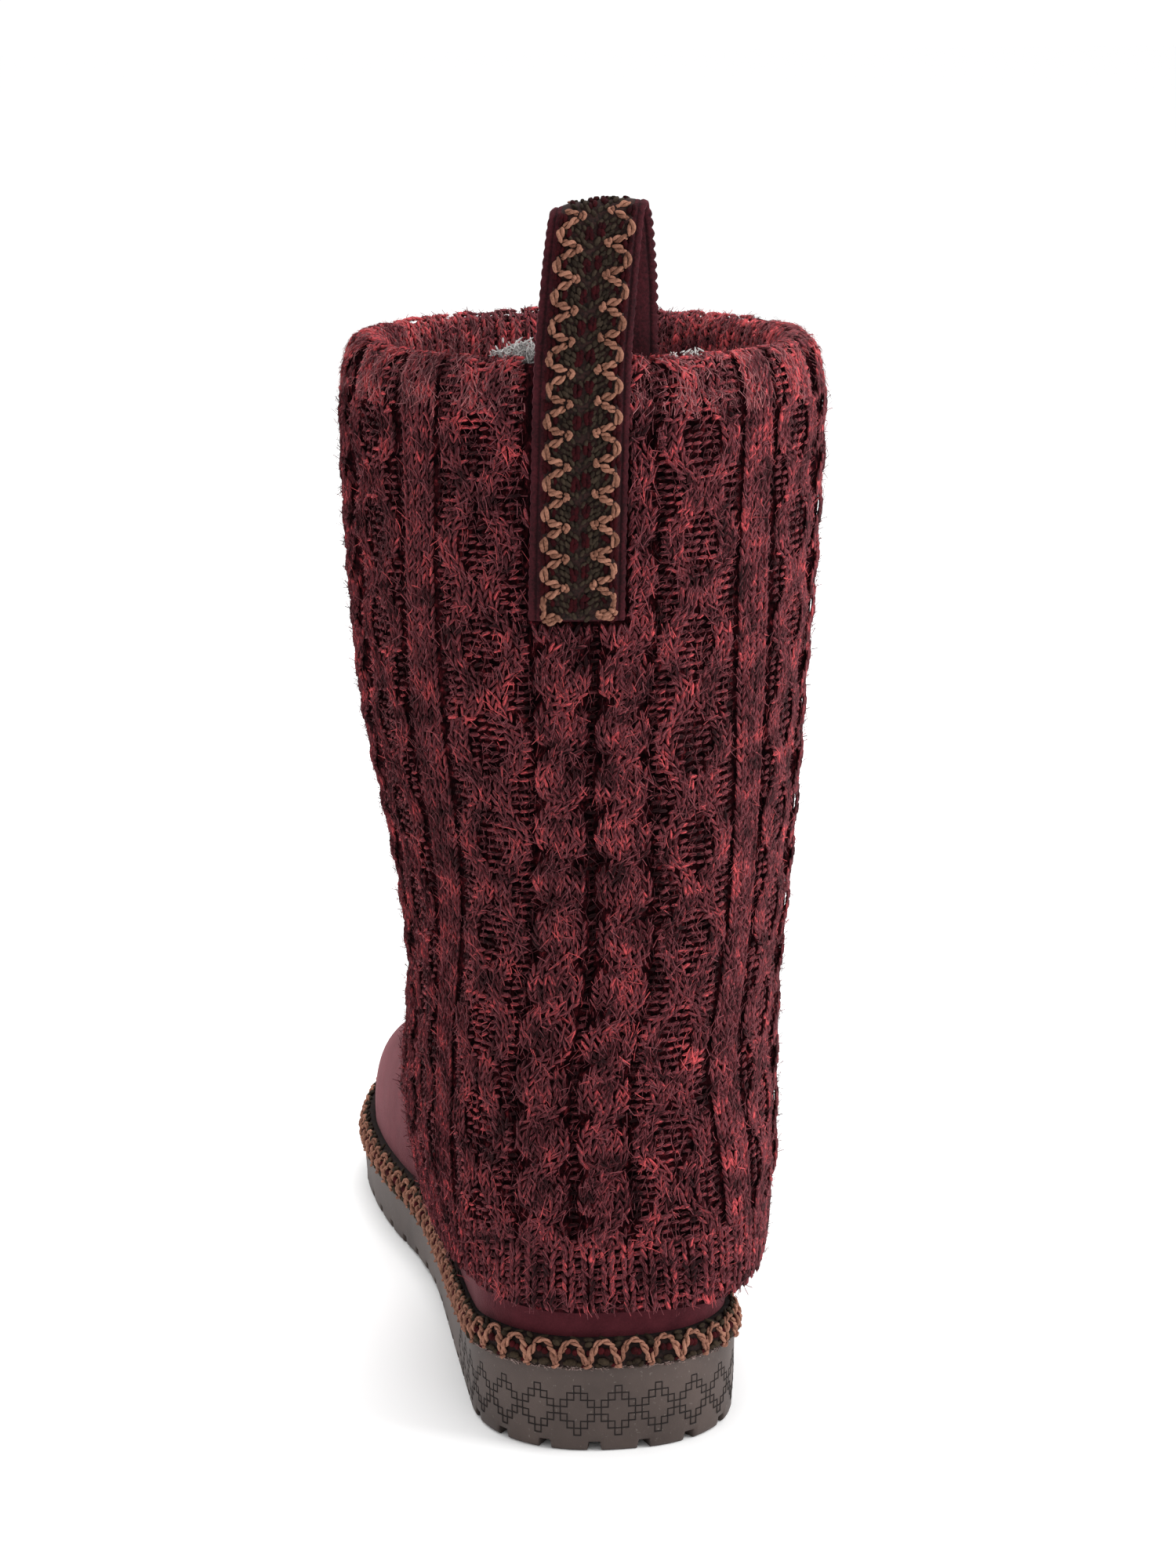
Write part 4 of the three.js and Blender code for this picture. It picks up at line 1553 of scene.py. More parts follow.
@dataclass
class Trim:
    """Braided band round the top of the sole: tan arches over olive and wine knots.

    Places along an arch are shares of its pitch, and places up it shares of the band's height.
    """

    tall: float = 7.6
    pitch: float = 7.95
    cord: float = 0.98
    proud: float = 0.7
    core_stations: int = 560
    # Strokes of an arch: start, middle and end of each, and its thickness
    strokes: tuple[tuple, ...] = (
        ((0.05, 0.12), (0.12, 0.45), (0.28, 0.73), 1.0),
        ((0.17, 0.72), (0.5, 0.88), (0.83, 0.72), 0.8),
        ((0.72, 0.73), (0.88, 0.45), (0.95, 0.12), 1.0),
        ((0.9, 0.07), (1.0, 0.03), (1.1, 0.07), 0.8),
    )
    # Knots: place along the arch, place up it, half length and half thickness
    olive_knots: tuple[tuple[float, ...], ...] = (
        (0.5, 0.17, 1.6, 0.85), (0.3, 0.1, 1.0, 0.6), (0.02, 0.8, 1.2, 0.75),
        (0.72, 0.1, 1.0, 0.6), (0.02, 0.95, 1.4, 0.6), (0.5, 1.0, 1.7, 0.5),
    )
    wine_knots: tuple[tuple[float, ...], ...] = (
        (0.42, 0.52, 1.0, 0.95), (0.6, 0.55, 1.0, 0.95), (0.02, 0.5, 0.8, 0.8),
        (0.18, 0.05, 0.8, 0.5),
    )

    def __post_init__(self) -> None:
        """Measure the band's length, 1 mm in from the sole's edge."""
        self.turns = np.linspace(0, 1, MEASURE)
        self.lengths = run_of(*sole_outline(self.turns, 1.0))
        self.total = self.lengths[-1]
        self.count = round(self.total / self.pitch)
        self.step = self.total / self.count

    def sides(self, length: Array, up: Array) -> tuple[Array, Array, Array, Array]:
        """Suede and outer face on both sides of the band.

        Args:
            length: Length round the band from the back of the heel.
            up: 0 at the rubber and 1 at the band's top.

        Returns:
            x and s of the suede, and from there to the edge of the outer face.
        """
        turn = np.interp(np.mod(length, self.total), self.lengths, self.turns)
        edge_x, edge_s = sole_outline(turn, -self.proud)
        x, s, _ = foot_point(turn, up * self.tall / (FOOT_TOP - WAIST), 0.0)
        return x, s, edge_x - x, edge_s - s

    def point(self, length: Array, up: Array, lift: Array) -> Array:
        """Point on the band.

        Args:
            length: Length round the band from the back of the heel.
            up: 0 at the rubber and 1 at the band's top.
            lift: Distance outwards from the band's face.

        Returns:
            Points in metres.
        """
        length, up, lift = np.broadcast_arrays(length, up, lift)
        x, s, dx, ds = self.sides(length, up)
        long = np.maximum(np.hypot(dx, ds), 0.5)
        out = np.sqrt(np.clip(1 - (np.clip(up, 0, 1) * 0.96) ** 3.2, 0, 1)) * 0.86 + 0.14
        x = x + dx * out + dx / long * lift * 0.8
        s = s + ds * out + ds / long * lift * 0.8
        return to_metres(x, s, TOP(s) + FIT + up * self.tall + lift * 0.5 * up)

    def inner_ring(self, length: Array, up: float) -> Array:
        """Ring of the core against the suede.

        Args:
            length: Lengths round the band.
            up: 0 at the rubber and 1 at the band's top.

        Returns:
            Points in metres.
        """
        x, s, dx, ds = self.sides(length, np.full_like(length, up))
        gap = 0.12 / np.maximum(np.hypot(dx, ds), 0.5)
        x, s = x + dx * gap, s + ds * gap
        return to_metres(x, s, TOP(s) + FIT + up * self.tall)

    def base(self) -> None:
        """The dark core that the knots lie on."""
        length = np.arange(self.core_stations) / self.core_stations * self.total
        lift = 0.25 * np.sin(TAU * length / self.step) - 0.55
        levels = (0.0, 0.05, 0.2, 0.35, 0.5, 0.65, 0.8, 0.9, 0.97)
        rings = [self.point(length, up, lift) for up in levels]
        rings.append(self.point(length, 0.99, -1.2))
        rings += [self.inner_ring(length, up) for up in (0.93, 0.5, 0.02)]
        core = Plain("trim_shadow", (16, 10, 9), (38, 22, 20), 1100, 0.95).material()
        finish_piece(skin("trim_core", rings, core, tube=True), Piece.TRIM, "trim_braid")

    def arches(self) -> None:
        """Tan arches: two plump legs, a bar across their tops and a knot at each foot."""
        cords = Cords(np.random.default_rng(23), 0.0052)
        rng = cords.rng
        t = np.linspace(0, 1, 9)
        hump = np.sin(math.pi * t)
        a, b, c = (share[:, None] for share in ((1 - t) ** 2, 2 * t * (1 - t), t**2))
        for n in range(self.count):
            wob = rng.normal(0, 0.025, 2)
            for *knot, thick in self.strokes:
                start, middle, end = np.array(knot) + rng.normal(0, 0.015, (3, 2)) + wob
                path = a * start + b * (2 * middle - (start + end) / 2) + c * end
                up = np.clip(path[:, 1], 0.02, 1)
                line = self.point((path[:, 0] + n) * self.step, up, 0.1 + 0.45 * hump)
                cords.lay(line, self.cord * thick * MM * (0.6 + 0.4 * hump**0.6))
        tan = Cord("tan_cord", (100, 66, 54), (158, 112, 94)).material()
        finish_piece(cords.sweep("trim_arches", tan), Piece.TRIM)

    def knots(
        self, name: str, rows: tuple[tuple[float, ...], ...], cord: Cord, seed: int
    ) -> None:
        """Small knots at fixed places of every arch.

        Args:
            name: Piece's name.
            rows: Place along and up, half length and half thickness of each knot.
            cord: Finish.
            seed: Seed of the small differences.
        """
        rng = np.random.default_rng(seed)
        places, turns, sizes = [], [], []
        n, ahead = np.arange(self.count), 0.4
        for share, up, long, thick in rows:
            length = (n + share + rng.normal(0, 0.03, self.count)) * self.step
            height = np.clip(up + rng.normal(0, 0.02, self.count), 0.03, 0.95)
            here = self.point(length, height, 0.15)
            after = self.point(length + ahead, height, 0.15)
            rise = self.point(length, height + 0.05, 0.15) - here
            tilt = rng.normal(0.0, 0.35, self.count)[:, None]
            places.append(here)
            turns.append(euler_of(rise, (after - here) / ahead + tilt * rise / 0.43))
            grow = 1 + rng.normal(0, 0.08, self.count)
            sizes.append(grow[:, None] * np.array([thick * 2.3, long * 2, thick * 1.9]) * MM)
        made = Scatter(name, Grain.SPINDLE, 6, 4).make(
            np.concatenate(places), np.concatenate(turns), np.concatenate(sizes),
            cord.material(), {"tone": rng.uniform(0, 1, self.count * len(rows))},
        )
        finish_piece(made, Piece.TRIM)

    def build(self) -> None:
        """Make and finish the trim's pieces."""
        self.base()
        self.arches()
        olive = Cord("olive_cord", (28, 21, 16), (56, 46, 36))
        wine = Cord("wine_cord", (30, 7, 9), (64, 16, 20))
        self.knots("trim_olive_knots", self.olive_knots, olive, 6)
        self.knots("trim_wine_knots", self.wine_knots, wine, 7)


# Knitted sleeve


class Stitch(Enum):
    """What a place of the knit shows."""

    KNIT = 0
    PURL = 1


@dataclass(frozen=True)
class Leg:
    """One spindle of a stitch: place in shares of a wale, turn, and sizes in millimetres."""

    kind: Stitch
    side: float
    angle: float
    long: float
    thick: float
    lift: float


LEGS = (
    Leg(Stitch.KNIT, -0.29, 0.36, 3.7, 1.22, 0.0), Leg(Stitch.KNIT, 0.29, -0.36, 3.7, 1.22, 0.0),
    Leg(Stitch.PURL, 0.0, 1.36, 3.0, 1.3, 0.55),
)


def stitch_rows(q: Array, row: Array, kind: Stitch, lean: Array = 0.0) -> Array:
    """Stitches of one kind: their wales, rows, leans in wales for each row, and kind."""
    return np.stack(np.broadcast_arrays(q, row, lean, float(kind.value)))


def bar(off: Array, tall: float, sunk: float) -> Array:
    """Height of a round bar at a share of its half width off its middle."""
    return tall * np.sqrt(np.clip(1 - off**2, 0, 1)) - sunk


@dataclass
class KnitSleeve:
    """Cabled sleeve: paired ropes, oval chains and ribs between purl gutters, ribbed at both ends.

    Places round a repeat are wales from its middle, heights are rows of knitting from the hem, and
    reliefs are millimetres off the plain sleeve.
    """

    repeats: int = 4
    wales: int = 36
    rows: int = 112
    hem_rows: int = 10
    roll_rows: int = 7
    inside_rows: int = 23
    pitch: float = 2.1
    wale_wide: float = 2.38
    ring_long: float = 345.0
    wander: float = 0.0024
    rope_middle: float = 3.28
    rope_edge: float = 6.9
    rope_rows: float = 6.5
    rope_sway: float = 1.2
    rope_cross: float = 0.36
    rope_offset: float = 0.08
    strand_half: float = 1.85
    chain_middle: float = 11.0
    chain_half: float = 1.45
    chain_rows: float = 12.4
    rib_middle: float = 17.25
    rib_half: float = 1.6
    ground: float = -1.7
    gutter: float = -2.3
    ladder: float = -0.6
    nothing: float = -9.0
    wall_columns: int = 252
    lowest: float = 34.0
    highest: float = 290.0
    levels: int = 131
    fine: int = 1441
    strand_tones: int = 4096

    def __post_init__(self) -> None:
        """Tabulate the sleeve's rings at even shares of their length, and the collar's roll."""
        self.z_levels = np.linspace(self.lowest, self.highest, self.levels)
        turns = np.linspace(0, 1, 12001)
        shares = np.linspace(0, 1, self.fine)
        table, long = [], []
        for z in self.z_levels:
            off, s = sleeve_section(z, turns)
            x = S_MIDDLE(z) + off
            length = run_of(x, s)
            at = shares * length[-1]
            table.append(np.stack([np.interp(at, length, x), np.interp(at, length, s)], axis=-1))
            long.append(length[-1])
        self.table, self.long = np.array(table), np.array(long)
        length = run_of(*sleeve_section(60.0, turns))
        self.hem_turns = (length / length[-1], turns)
        up, inset = np.array(ROLL_ROWS, float).T
        length = run_of(up, inset)
        self.roll_up = Column(tuple(length), tuple(up))
        self.roll_in = Column(tuple(length), tuple(inset))
        self.roll_long = length[-1]

    def ring(self, w: Array, z: Array) -> tuple[Array, Array]:
        """Place on the plain sleeve.

        Args:
            w: Share of the way round.
            z: Height.

        Returns:
            x and s.
        """
        tall = self.highest - self.lowest
        i = (np.clip(z, self.lowest, self.highest) - self.lowest) / tall * (self.levels - 1)
        j = np.mod(w, 1) * (self.fine - 1)
        i0 = np.clip(i.astype(int), 0, self.levels - 2)
        j0 = np.clip(j.astype(int), 0, self.fine - 2)
        a, b, t = (i - i0)[..., None], (j - j0)[..., None], self.table
        low = mix(t[i0, j0], t[i0, j0 + 1], b)
        high = mix(t[i0 + 1, j0], t[i0 + 1, j0 + 1], b)
        both = mix(low, high, a)
        return both[..., 0], both[..., 1]

    def surface(self, w: Array, row: Array, out: Array) -> Array:
        """Point of the knit.

        Args:
            w: Share of the way round from the back towards the inner side.
            row: Row of knitting from the hem, over the collar and down inside.
            out: Distance outwards from the plain sleeve.

        Returns:
            Points in metres.
        """
        w, row, out = np.broadcast_arrays(w, row, out)
        part = np.clip(row / self.rows, -0.05, 1)
        w = self.gathered(w + self.wander * np.sin(row / 8.3 + 5 * TAU * w), part)
        turn = np.interp(np.mod(w, 1), *self.hem_turns)
        hem = HEM((1 - np.cos(TAU * turn)) / 2)
        # Height and inset of the roll, and its direction there
        over, tilt = np.maximum(row - self.rows, 0) * self.pitch, 0.4
        up, inset = self.roll_up(over), self.roll_in(over)
        up_t = (self.roll_up(over + tilt) - self.roll_up(over - tilt)) / (2 * tilt)
        in_t = (self.roll_in(over + tilt) - self.roll_in(over - tilt)) / (2 * tilt)
        up_t, in_t = np.where(over <= 0, 1, up_t), np.where(over <= 0, 0, in_t)
        long = np.maximum(np.hypot(up_t, in_t), 1e-6)
        z = mix(hem, COLLAR_START, part) + up + out * in_t / long
        level = np.minimum(mix(hem, COLLAR_START, part) + up, COLLAR_START)
        # Outward direction square to the ring
        d = 0.0012
        x, s = self.ring(w, level)
        x1, s1 = self.ring(w + d, level)
        x0, s0 = self.ring(w - d, level)
        nx, ns = -(s1 - s0), x1 - x0
        size = np.hypot(nx, ns) + 1e-9
        middle_s = (S_BACK(level) + S_FRONT(level)) / 2
        sign = np.sign(nx * (x - S_MIDDLE(level)) + ns * (s - middle_s))
        move = out * up_t / long - inset
        return to_metres(x + nx * sign / size * move, s + ns * sign / size * move, z)

    def gathered(self, w: Array, part: Array) -> Array:
        """Share of the way round once the knit is closed up at the heel and stretched in front.

        Args:
            w: Share of the wales round from the back.
            part: Share of the way up.

        Returns:
            Share of the ring's length.
        """
        pull = 0.17 * (1 - smooth((mix(45.0, COLLAR_START, part) - 62) / 70))
        return w - pull * np.sin(TAU * w) / TAU

    def drift(self, row: Array) -> Array:
        """Share of the way round by which the pattern leans towards the inner side."""
        z = mix(HEM_LOWEST, COLLAR_START, np.clip(row / self.rows, 0, 1))
        return DRIFT(z) / np.interp(z, self.z_levels, self.long)

    def wale_at(self, w: Array) -> Array:
        """Wale of the chart at a share of the way round."""
        return np.mod(w * self.repeats + 0.5, 1) * self.wales - self.wales / 2

    def chart(self, q: Array, row: Array) -> tuple[Array, Array]:
        """Relief of the pattern.

        Args:
            q: Wale from the middle of a repeat, negative towards the outer side.
            row: Row of knitting.

        Returns:
            Distance outwards in millimetres, and a painted shade for the deep places.
        """
        k = np.abs(q)
        out = np.full(np.shape(q), self.ground)
        # Two strands of each rope, one over the other where they cross
        y = q - np.where(q < 0, -self.rope_middle, self.rope_middle)
        front, near, _ = self.strand(row, q < 0)
        bump = 1 - near**2
        swell = 0.5 * np.abs(near) ** 3
        for place, lift in ((front, 1.15 * bump), (-front, -1.1 * bump)):
            off = (y - place) / self.strand_half
            strand = bar(off, 1.75, 0.7) + lift + swell
            inside = (np.abs(off) < 1) & (k < self.rope_edge)
            out = np.where(inside, np.maximum(out, strand), out)
        out = np.where(k < 0.4, self.gutter, out)
        # Purl ladders with the two ribs of the oval chain over them
        out = np.maximum(out, np.where((k > 7.2) & (k < 14.8), self.ladder, self.nothing))
        part = self.parting(row)
        for side in (-1, 1):
            off = (k - self.chain_middle - side * part) / self.chain_half
            inside = (np.abs(off) < 1) & (k > 6.5) & (k < 15.5)
            out = np.maximum(out, np.where(inside, bar(off, 1.7, 0.8), self.nothing))
        # Plain rib between two repeats
        dome = bar((k - self.rib_middle) / self.rib_half, 1.0, 0.5)
        out = np.maximum(out, np.where(k > 15.9, dome, self.nothing))
        out = mix(out, 0.55 * np.cos(math.pi * (q - 0.5)) - 0.1, self.ribbing(row))
        return out, np.clip(-out / 2.4, 0, 1)

    def strand(self, row: Array, outer: Array) -> tuple[Array, Array, Array]:
        """The rope's strand that lies on top.

        Args:
            row: Row of knitting.
            outer: Whether it belongs to the rope on the outer side.

        Returns:
            Its place across the rope in wales, how far on its crossing is from -1 to 1, and its
            lean in wales for each row.
        """
        t = np.mod(row / self.rope_rows + 0.5 + np.where(outer, self.rope_offset, 0.0), 1) - 0.5
        near = np.clip(t / self.rope_cross, -1, 1)
        front = -self.rope_sway * np.sin(math.pi / 2 * near)
        lean = -self.rope_sway * math.pi / 2 * np.cos(math.pi / 2 * near)
        lean = np.where(np.abs(near) < 1, lean / (self.rope_cross * self.rope_rows), 0.0)
        return front, near, lean

    def parting(self, row: Array) -> Array:
        """Half the distance between the chain's two ribs, in wales."""
        t = np.cos(TAU * (row / self.chain_rows + 0.18))
        return 2.15 + 1.05 * np.sign(t) * np.abs(t) ** 0.7

    def ribbing(self, row: Array) -> Array:
        """Share of ribbing against pattern, full at the hem and at the collar."""
        low = 1 - smooth((row - self.hem_rows + 0.5) / 1.5)
        return np.maximum(low, smooth((row - self.rows - self.roll_rows) / 2.0))

    def under_tape(self, points: Array) -> Array:
        """How far the loop's tape presses the knit flat.

        Args:
            points: Points of the knit, metres.

        Returns:
            0 where it is free and 1 under the tape.
        """
        x, y, z = np.moveaxis(points / MM, -1, 0)
        outside = smooth((np.abs(x - 8.9) - 11.6) / 2.2)
        return (1 - outside) * smooth((z - 221.0) / 3.0) * (y > 30)

    def wall(self) -> None:
        """The knit's own wall, outside, over the collar and down inside to the hem."""
        c = np.arange(self.wall_columns) / self.wall_columns
        last = self.rows + self.roll_long / self.pitch
        outside = np.linspace(0.55, self.rows, 96)
        rings = []
        for row in (*outside, *np.linspace(self.rows + 1, last, 24)):
            at = np.full_like(c, row)
            out, _ = self.chart(self.wale_at(c), at)
            w = c + self.drift(at)
            fade = smooth(row / 3)
            out = (out - 0.9) * fade - 0.8 * (1 - fade)
            if row > self.rows:
                out = out * (1 - smooth((row - self.rows - 16) / 8))
            press = self.under_tape(self.surface(w, at, 0.0))
            rings.append(self.surface(w, at, mix(out, -0.7, press)))
        for part in (0.8, 0.6, 0.4, 0.2, 0.06, 0.0):
            at = np.full_like(c, part * self.rows)
            rings.append(self.surface(c + self.drift(at), at, -KNIT_WALL))
        tone = np.full(len(rings) * self.wall_columns, 0.5)
        # The wall is painted darker than the yarn, as the shade between the stitches.
        dark = KnitGroundShade().material()
        made = skin("knit_wall", rings, dark, tube=True, attributes={"tone": tone})
        finish_piece(made, Piece.KNIT, "knit_shaft")

    def frames(self, w: Array, row: Array, out: Array) -> tuple[Array, Array, Array]:
        """Point of the knit and its directions.

        Args:
            w: Share of the way round.
            row: Row of knitting.
            out: Distance outwards.

        Returns:
            The point, and unit directions round and along the wale.
        """
        around = self.surface(w + 0.0008, row, out) - self.surface(w - 0.0008, row, out)
        along = self.surface(w, row + 0.25, out) - self.surface(w, row - 0.25, out)
        around /= np.linalg.norm(around, axis=-1, keepdims=True) + 1e-12
        along /= np.linalg.norm(along, axis=-1, keepdims=True) + 1e-12
        return self.surface(w, row, out), around, along

    def stitch_list(self) -> Array:
        """Stitches of one repeat.

        Returns:
            Wale, row, lean in wales for each row, and kind, each with a place for every stitch.
        """
        made = []
        body = np.arange(self.hem_rows, self.rows + self.roll_rows + 1, dtype=float)
        part = self.parting(body)
        lean = self.parting(body + 0.5) - self.parting(body - 0.5)
        for side in (-1, 1):
            front, near, slope = self.strand(body, np.full(len(body), side < 0))
            for q0 in np.arange(-2.5, 3):
                ahead = np.where(near < 0, q0 > 0, q0 < 0)
                q = q0 - math.copysign(1.5, q0) + np.where(ahead, front, -front)
                keep = ahead | (np.abs(near) > 0.35)
                tilt = np.where(ahead, slope, -slope)[keep]
                q = (q + side * self.rope_middle)[keep]
                made.append(stitch_rows(q, body[keep], Stitch.KNIT, tilt))
            for rib in (-1, 1):
                for y in (-0.52, 0.52):
                    q = side * (self.chain_middle + rib * part + y)
                    made.append(stitch_rows(q, body, Stitch.KNIT, side * rib * lean))
            for wale in np.arange(7.5, 15):
                off = wale - self.chain_middle
                keep = np.minimum(np.abs(off - part), np.abs(off + part)) > 0.9
                made.append(stitch_rows(side * wale, body[keep], Stitch.PURL))
            for wale in (6.9, 15.5):
                made.append(stitch_rows(side * wale, body, Stitch.PURL))
            for wale in (16.6, 17.6):
                made.append(stitch_rows(side * wale, body, Stitch.KNIT))
        made.append(stitch_rows(0.0, body, Stitch.PURL))
        low = np.arange(0, self.hem_rows - 1, dtype=float) + 1.35
        high = np.arange(
            self.rows + self.roll_rows + 1, self.rows + self.inside_rows, dtype=float
        )
        half = self.wales // 2
        for rows in (low, high):
            for wale in range(-half, half):
                kind = Stitch.KNIT if wale % 2 == 0 else Stitch.PURL
                made.append(stitch_rows(wale + 0.5, rows, kind))
        return np.concatenate(made, axis=1)

    def stitches(self, repeat: int, name: str, material: Material) -> None:
        """Legs and bumps of one repeat.

        Args:
            repeat: Number of the repeat.
            name: Piece's name.
            material: The yarn.
        """
        rng = np.random.default_rng(100 + repeat)
        q, row, lean, kind = self.stitch_list()
        out, deep = self.chart(q, row)
        out = out - 0.7 * (1 - smooth(row / 3.5))
        w = (repeat + q / self.wales) / self.repeats + self.drift(row)
        strand = rng.uniform(0, 1, self.strand_tones)
        ribbed = self.ribbing(row)
        places, turns, sizes, tones, recess_shades = [], [], [], [], []
        for leg in LEGS:
            pick = kind == leg.kind.value
            qs, rs = q[pick], row[pick]
            n = len(qs)
            spread = 1 + 0.3 * ribbed[pick]
            wide = leg.side * spread + rng.normal(0, 0.05, n)
            here, around, along = self.frames(
                w[pick] + wide * self.wale_wide / self.ring_long, rs + rng.normal(0, 0.06, n),
                out[pick] + leg.lift,
            )
            a = leg.angle + np.arctan2(-lean[pick] * self.wale_wide, self.pitch)
            a = (a + rng.normal(0, 0.13, n))[:, None]
            up = np.cos(a) * along - np.sin(a) * around
            flat = np.cos(a) * around + np.sin(a) * along
            keep = self.under_tape(here) < 0.35
            grow = 1 + rng.normal(0, 0.1, n)
            thick = leg.thick * grow * spread
            size = np.stack([thick, leg.long * grow, 0.9 * thick], axis=1) * MM
            # Ribs' purl bumps are painted paler for the light they catch and the collar painted paler
            # as lit from above, and each run of a strand has a tone of its own
            run = (rs * 7 + np.floor(qs / 1.6) + 300).astype(int) % self.strand_tones
            tone = 0.12 * (leg.side == 0) + 0.4 * smooth((rs - self.rows + 2) / 5)
            tone = tone + 0.55 * rng.uniform(0, 1, n) + 0.45 * strand[run]
            places.append(here[keep])
            turns.append(euler_of(flat, up)[keep])
            sizes.append(size[keep])
            tones.append(tone[keep])
            # Painted shade for the deep places of the pattern, which the yarn reads as darkening.
            recess_shades.append(deep[pick][keep])
        made = Scatter(name, Grain.SPINDLE, 3, 3).make(
            np.concatenate(places), np.concatenate(turns), np.concatenate(sizes), material,
            {"tone": np.concatenate(tones), "depth": np.concatenate(recess_shades)},
        )
        finish_piece(made, Piece.KNIT)

    def fuzz(
        self, name: str, count: int, seed: int, lie: float, material: Material, low: float = 0.5
    ) -> None:
        """Loose fibres lying on the knit and standing off it.

        Args:
            name: Piece's name.
            count: Number of fibres.
            seed: Seed of their places.
            lie: How far they stand up, as a slope.
            material: The yarn.
            low: Lowest row.
        """
        rng = np.random.default_rng(seed)
        w = rng.uniform(0, 1, count)
        row = rng.uniform(low, self.rows + 14, count)
        out, deep = self.chart(self.wale_at(w - self.drift(row)), row)
        here, around, along = self.frames(w, row, out + 0.55 + rng.uniform(0, 0.35, count))
        normal = np.cross(around, along)
        normal /= np.linalg.norm(normal, axis=1, keepdims=True)
        outward = np.sign(np.einsum("ij,ij->i", normal, here * (1, 1, 0)))
        normal *= np.where(row > self.rows, 1, outward)[:, None]
        a = rng.normal(0, 0.55, count)[:, None]
        stand = rng.normal(lie, 0.25, count)[:, None]
        up = np.cos(a) * along + np.sin(a) * around + stand * normal
        flat = np.cross(up, normal) + rng.normal(0, 0.2, (count, 3))
        long = rng.uniform(2.2, 5.0, count)
        size = np.stack([rng.uniform(0.1, 0.24, count), long, long], axis=1) * MM
        keep = self.under_tape(here) < 0.2
        # Fibres in the deep places are painted darker as shade, half as much as the stitches.
        made = Scatter(name, Grain.RIBBON, bend=0.45).make(
            here[keep], euler_of(flat, up)[keep], size[keep], material,
            {"tone": rng.uniform(0, 1, count)[keep], "depth": deep[keep] * 0.5},
        )
        finish_piece(made, Piece.KNIT)

    def build(self) -> None:
        """Make and finish the sleeve's pieces."""
        self.wall()
        yarn = KnitYarn().material()
        for repeat, side in enumerate(("back", "inner", "front", "outer")):
            self.stitches(repeat, f"knit_stitches_{side}", yarn)
        hair = KnitYarn(
            "knit_fibre", (38, 16, 20), (88, 34, 40), (128, 78, 84), (206, 84, 86), streak=0.5
        ).material()
        self.fuzz("knit_fuzz_lying", 18000, 31, 0.1, hair)
        self.fuzz("knit_fuzz_standing", 9000, 32, 0.5, hair)
        # Collar fibres are paler: partly the greyish pink fuzz, partly painted light falling on the
        # collar from above.
        pale = KnitYarn(
            "collar_fibre_with_painted_light", (66, 36, 40), (116, 64, 68), (164, 112, 114), (212, 118, 118),
            streak=0.5,
        ).material()
        self.fuzz("knit_fuzz_collar", 7500, 33, 0.22, pale, self.rows + 1.0)


# Lining


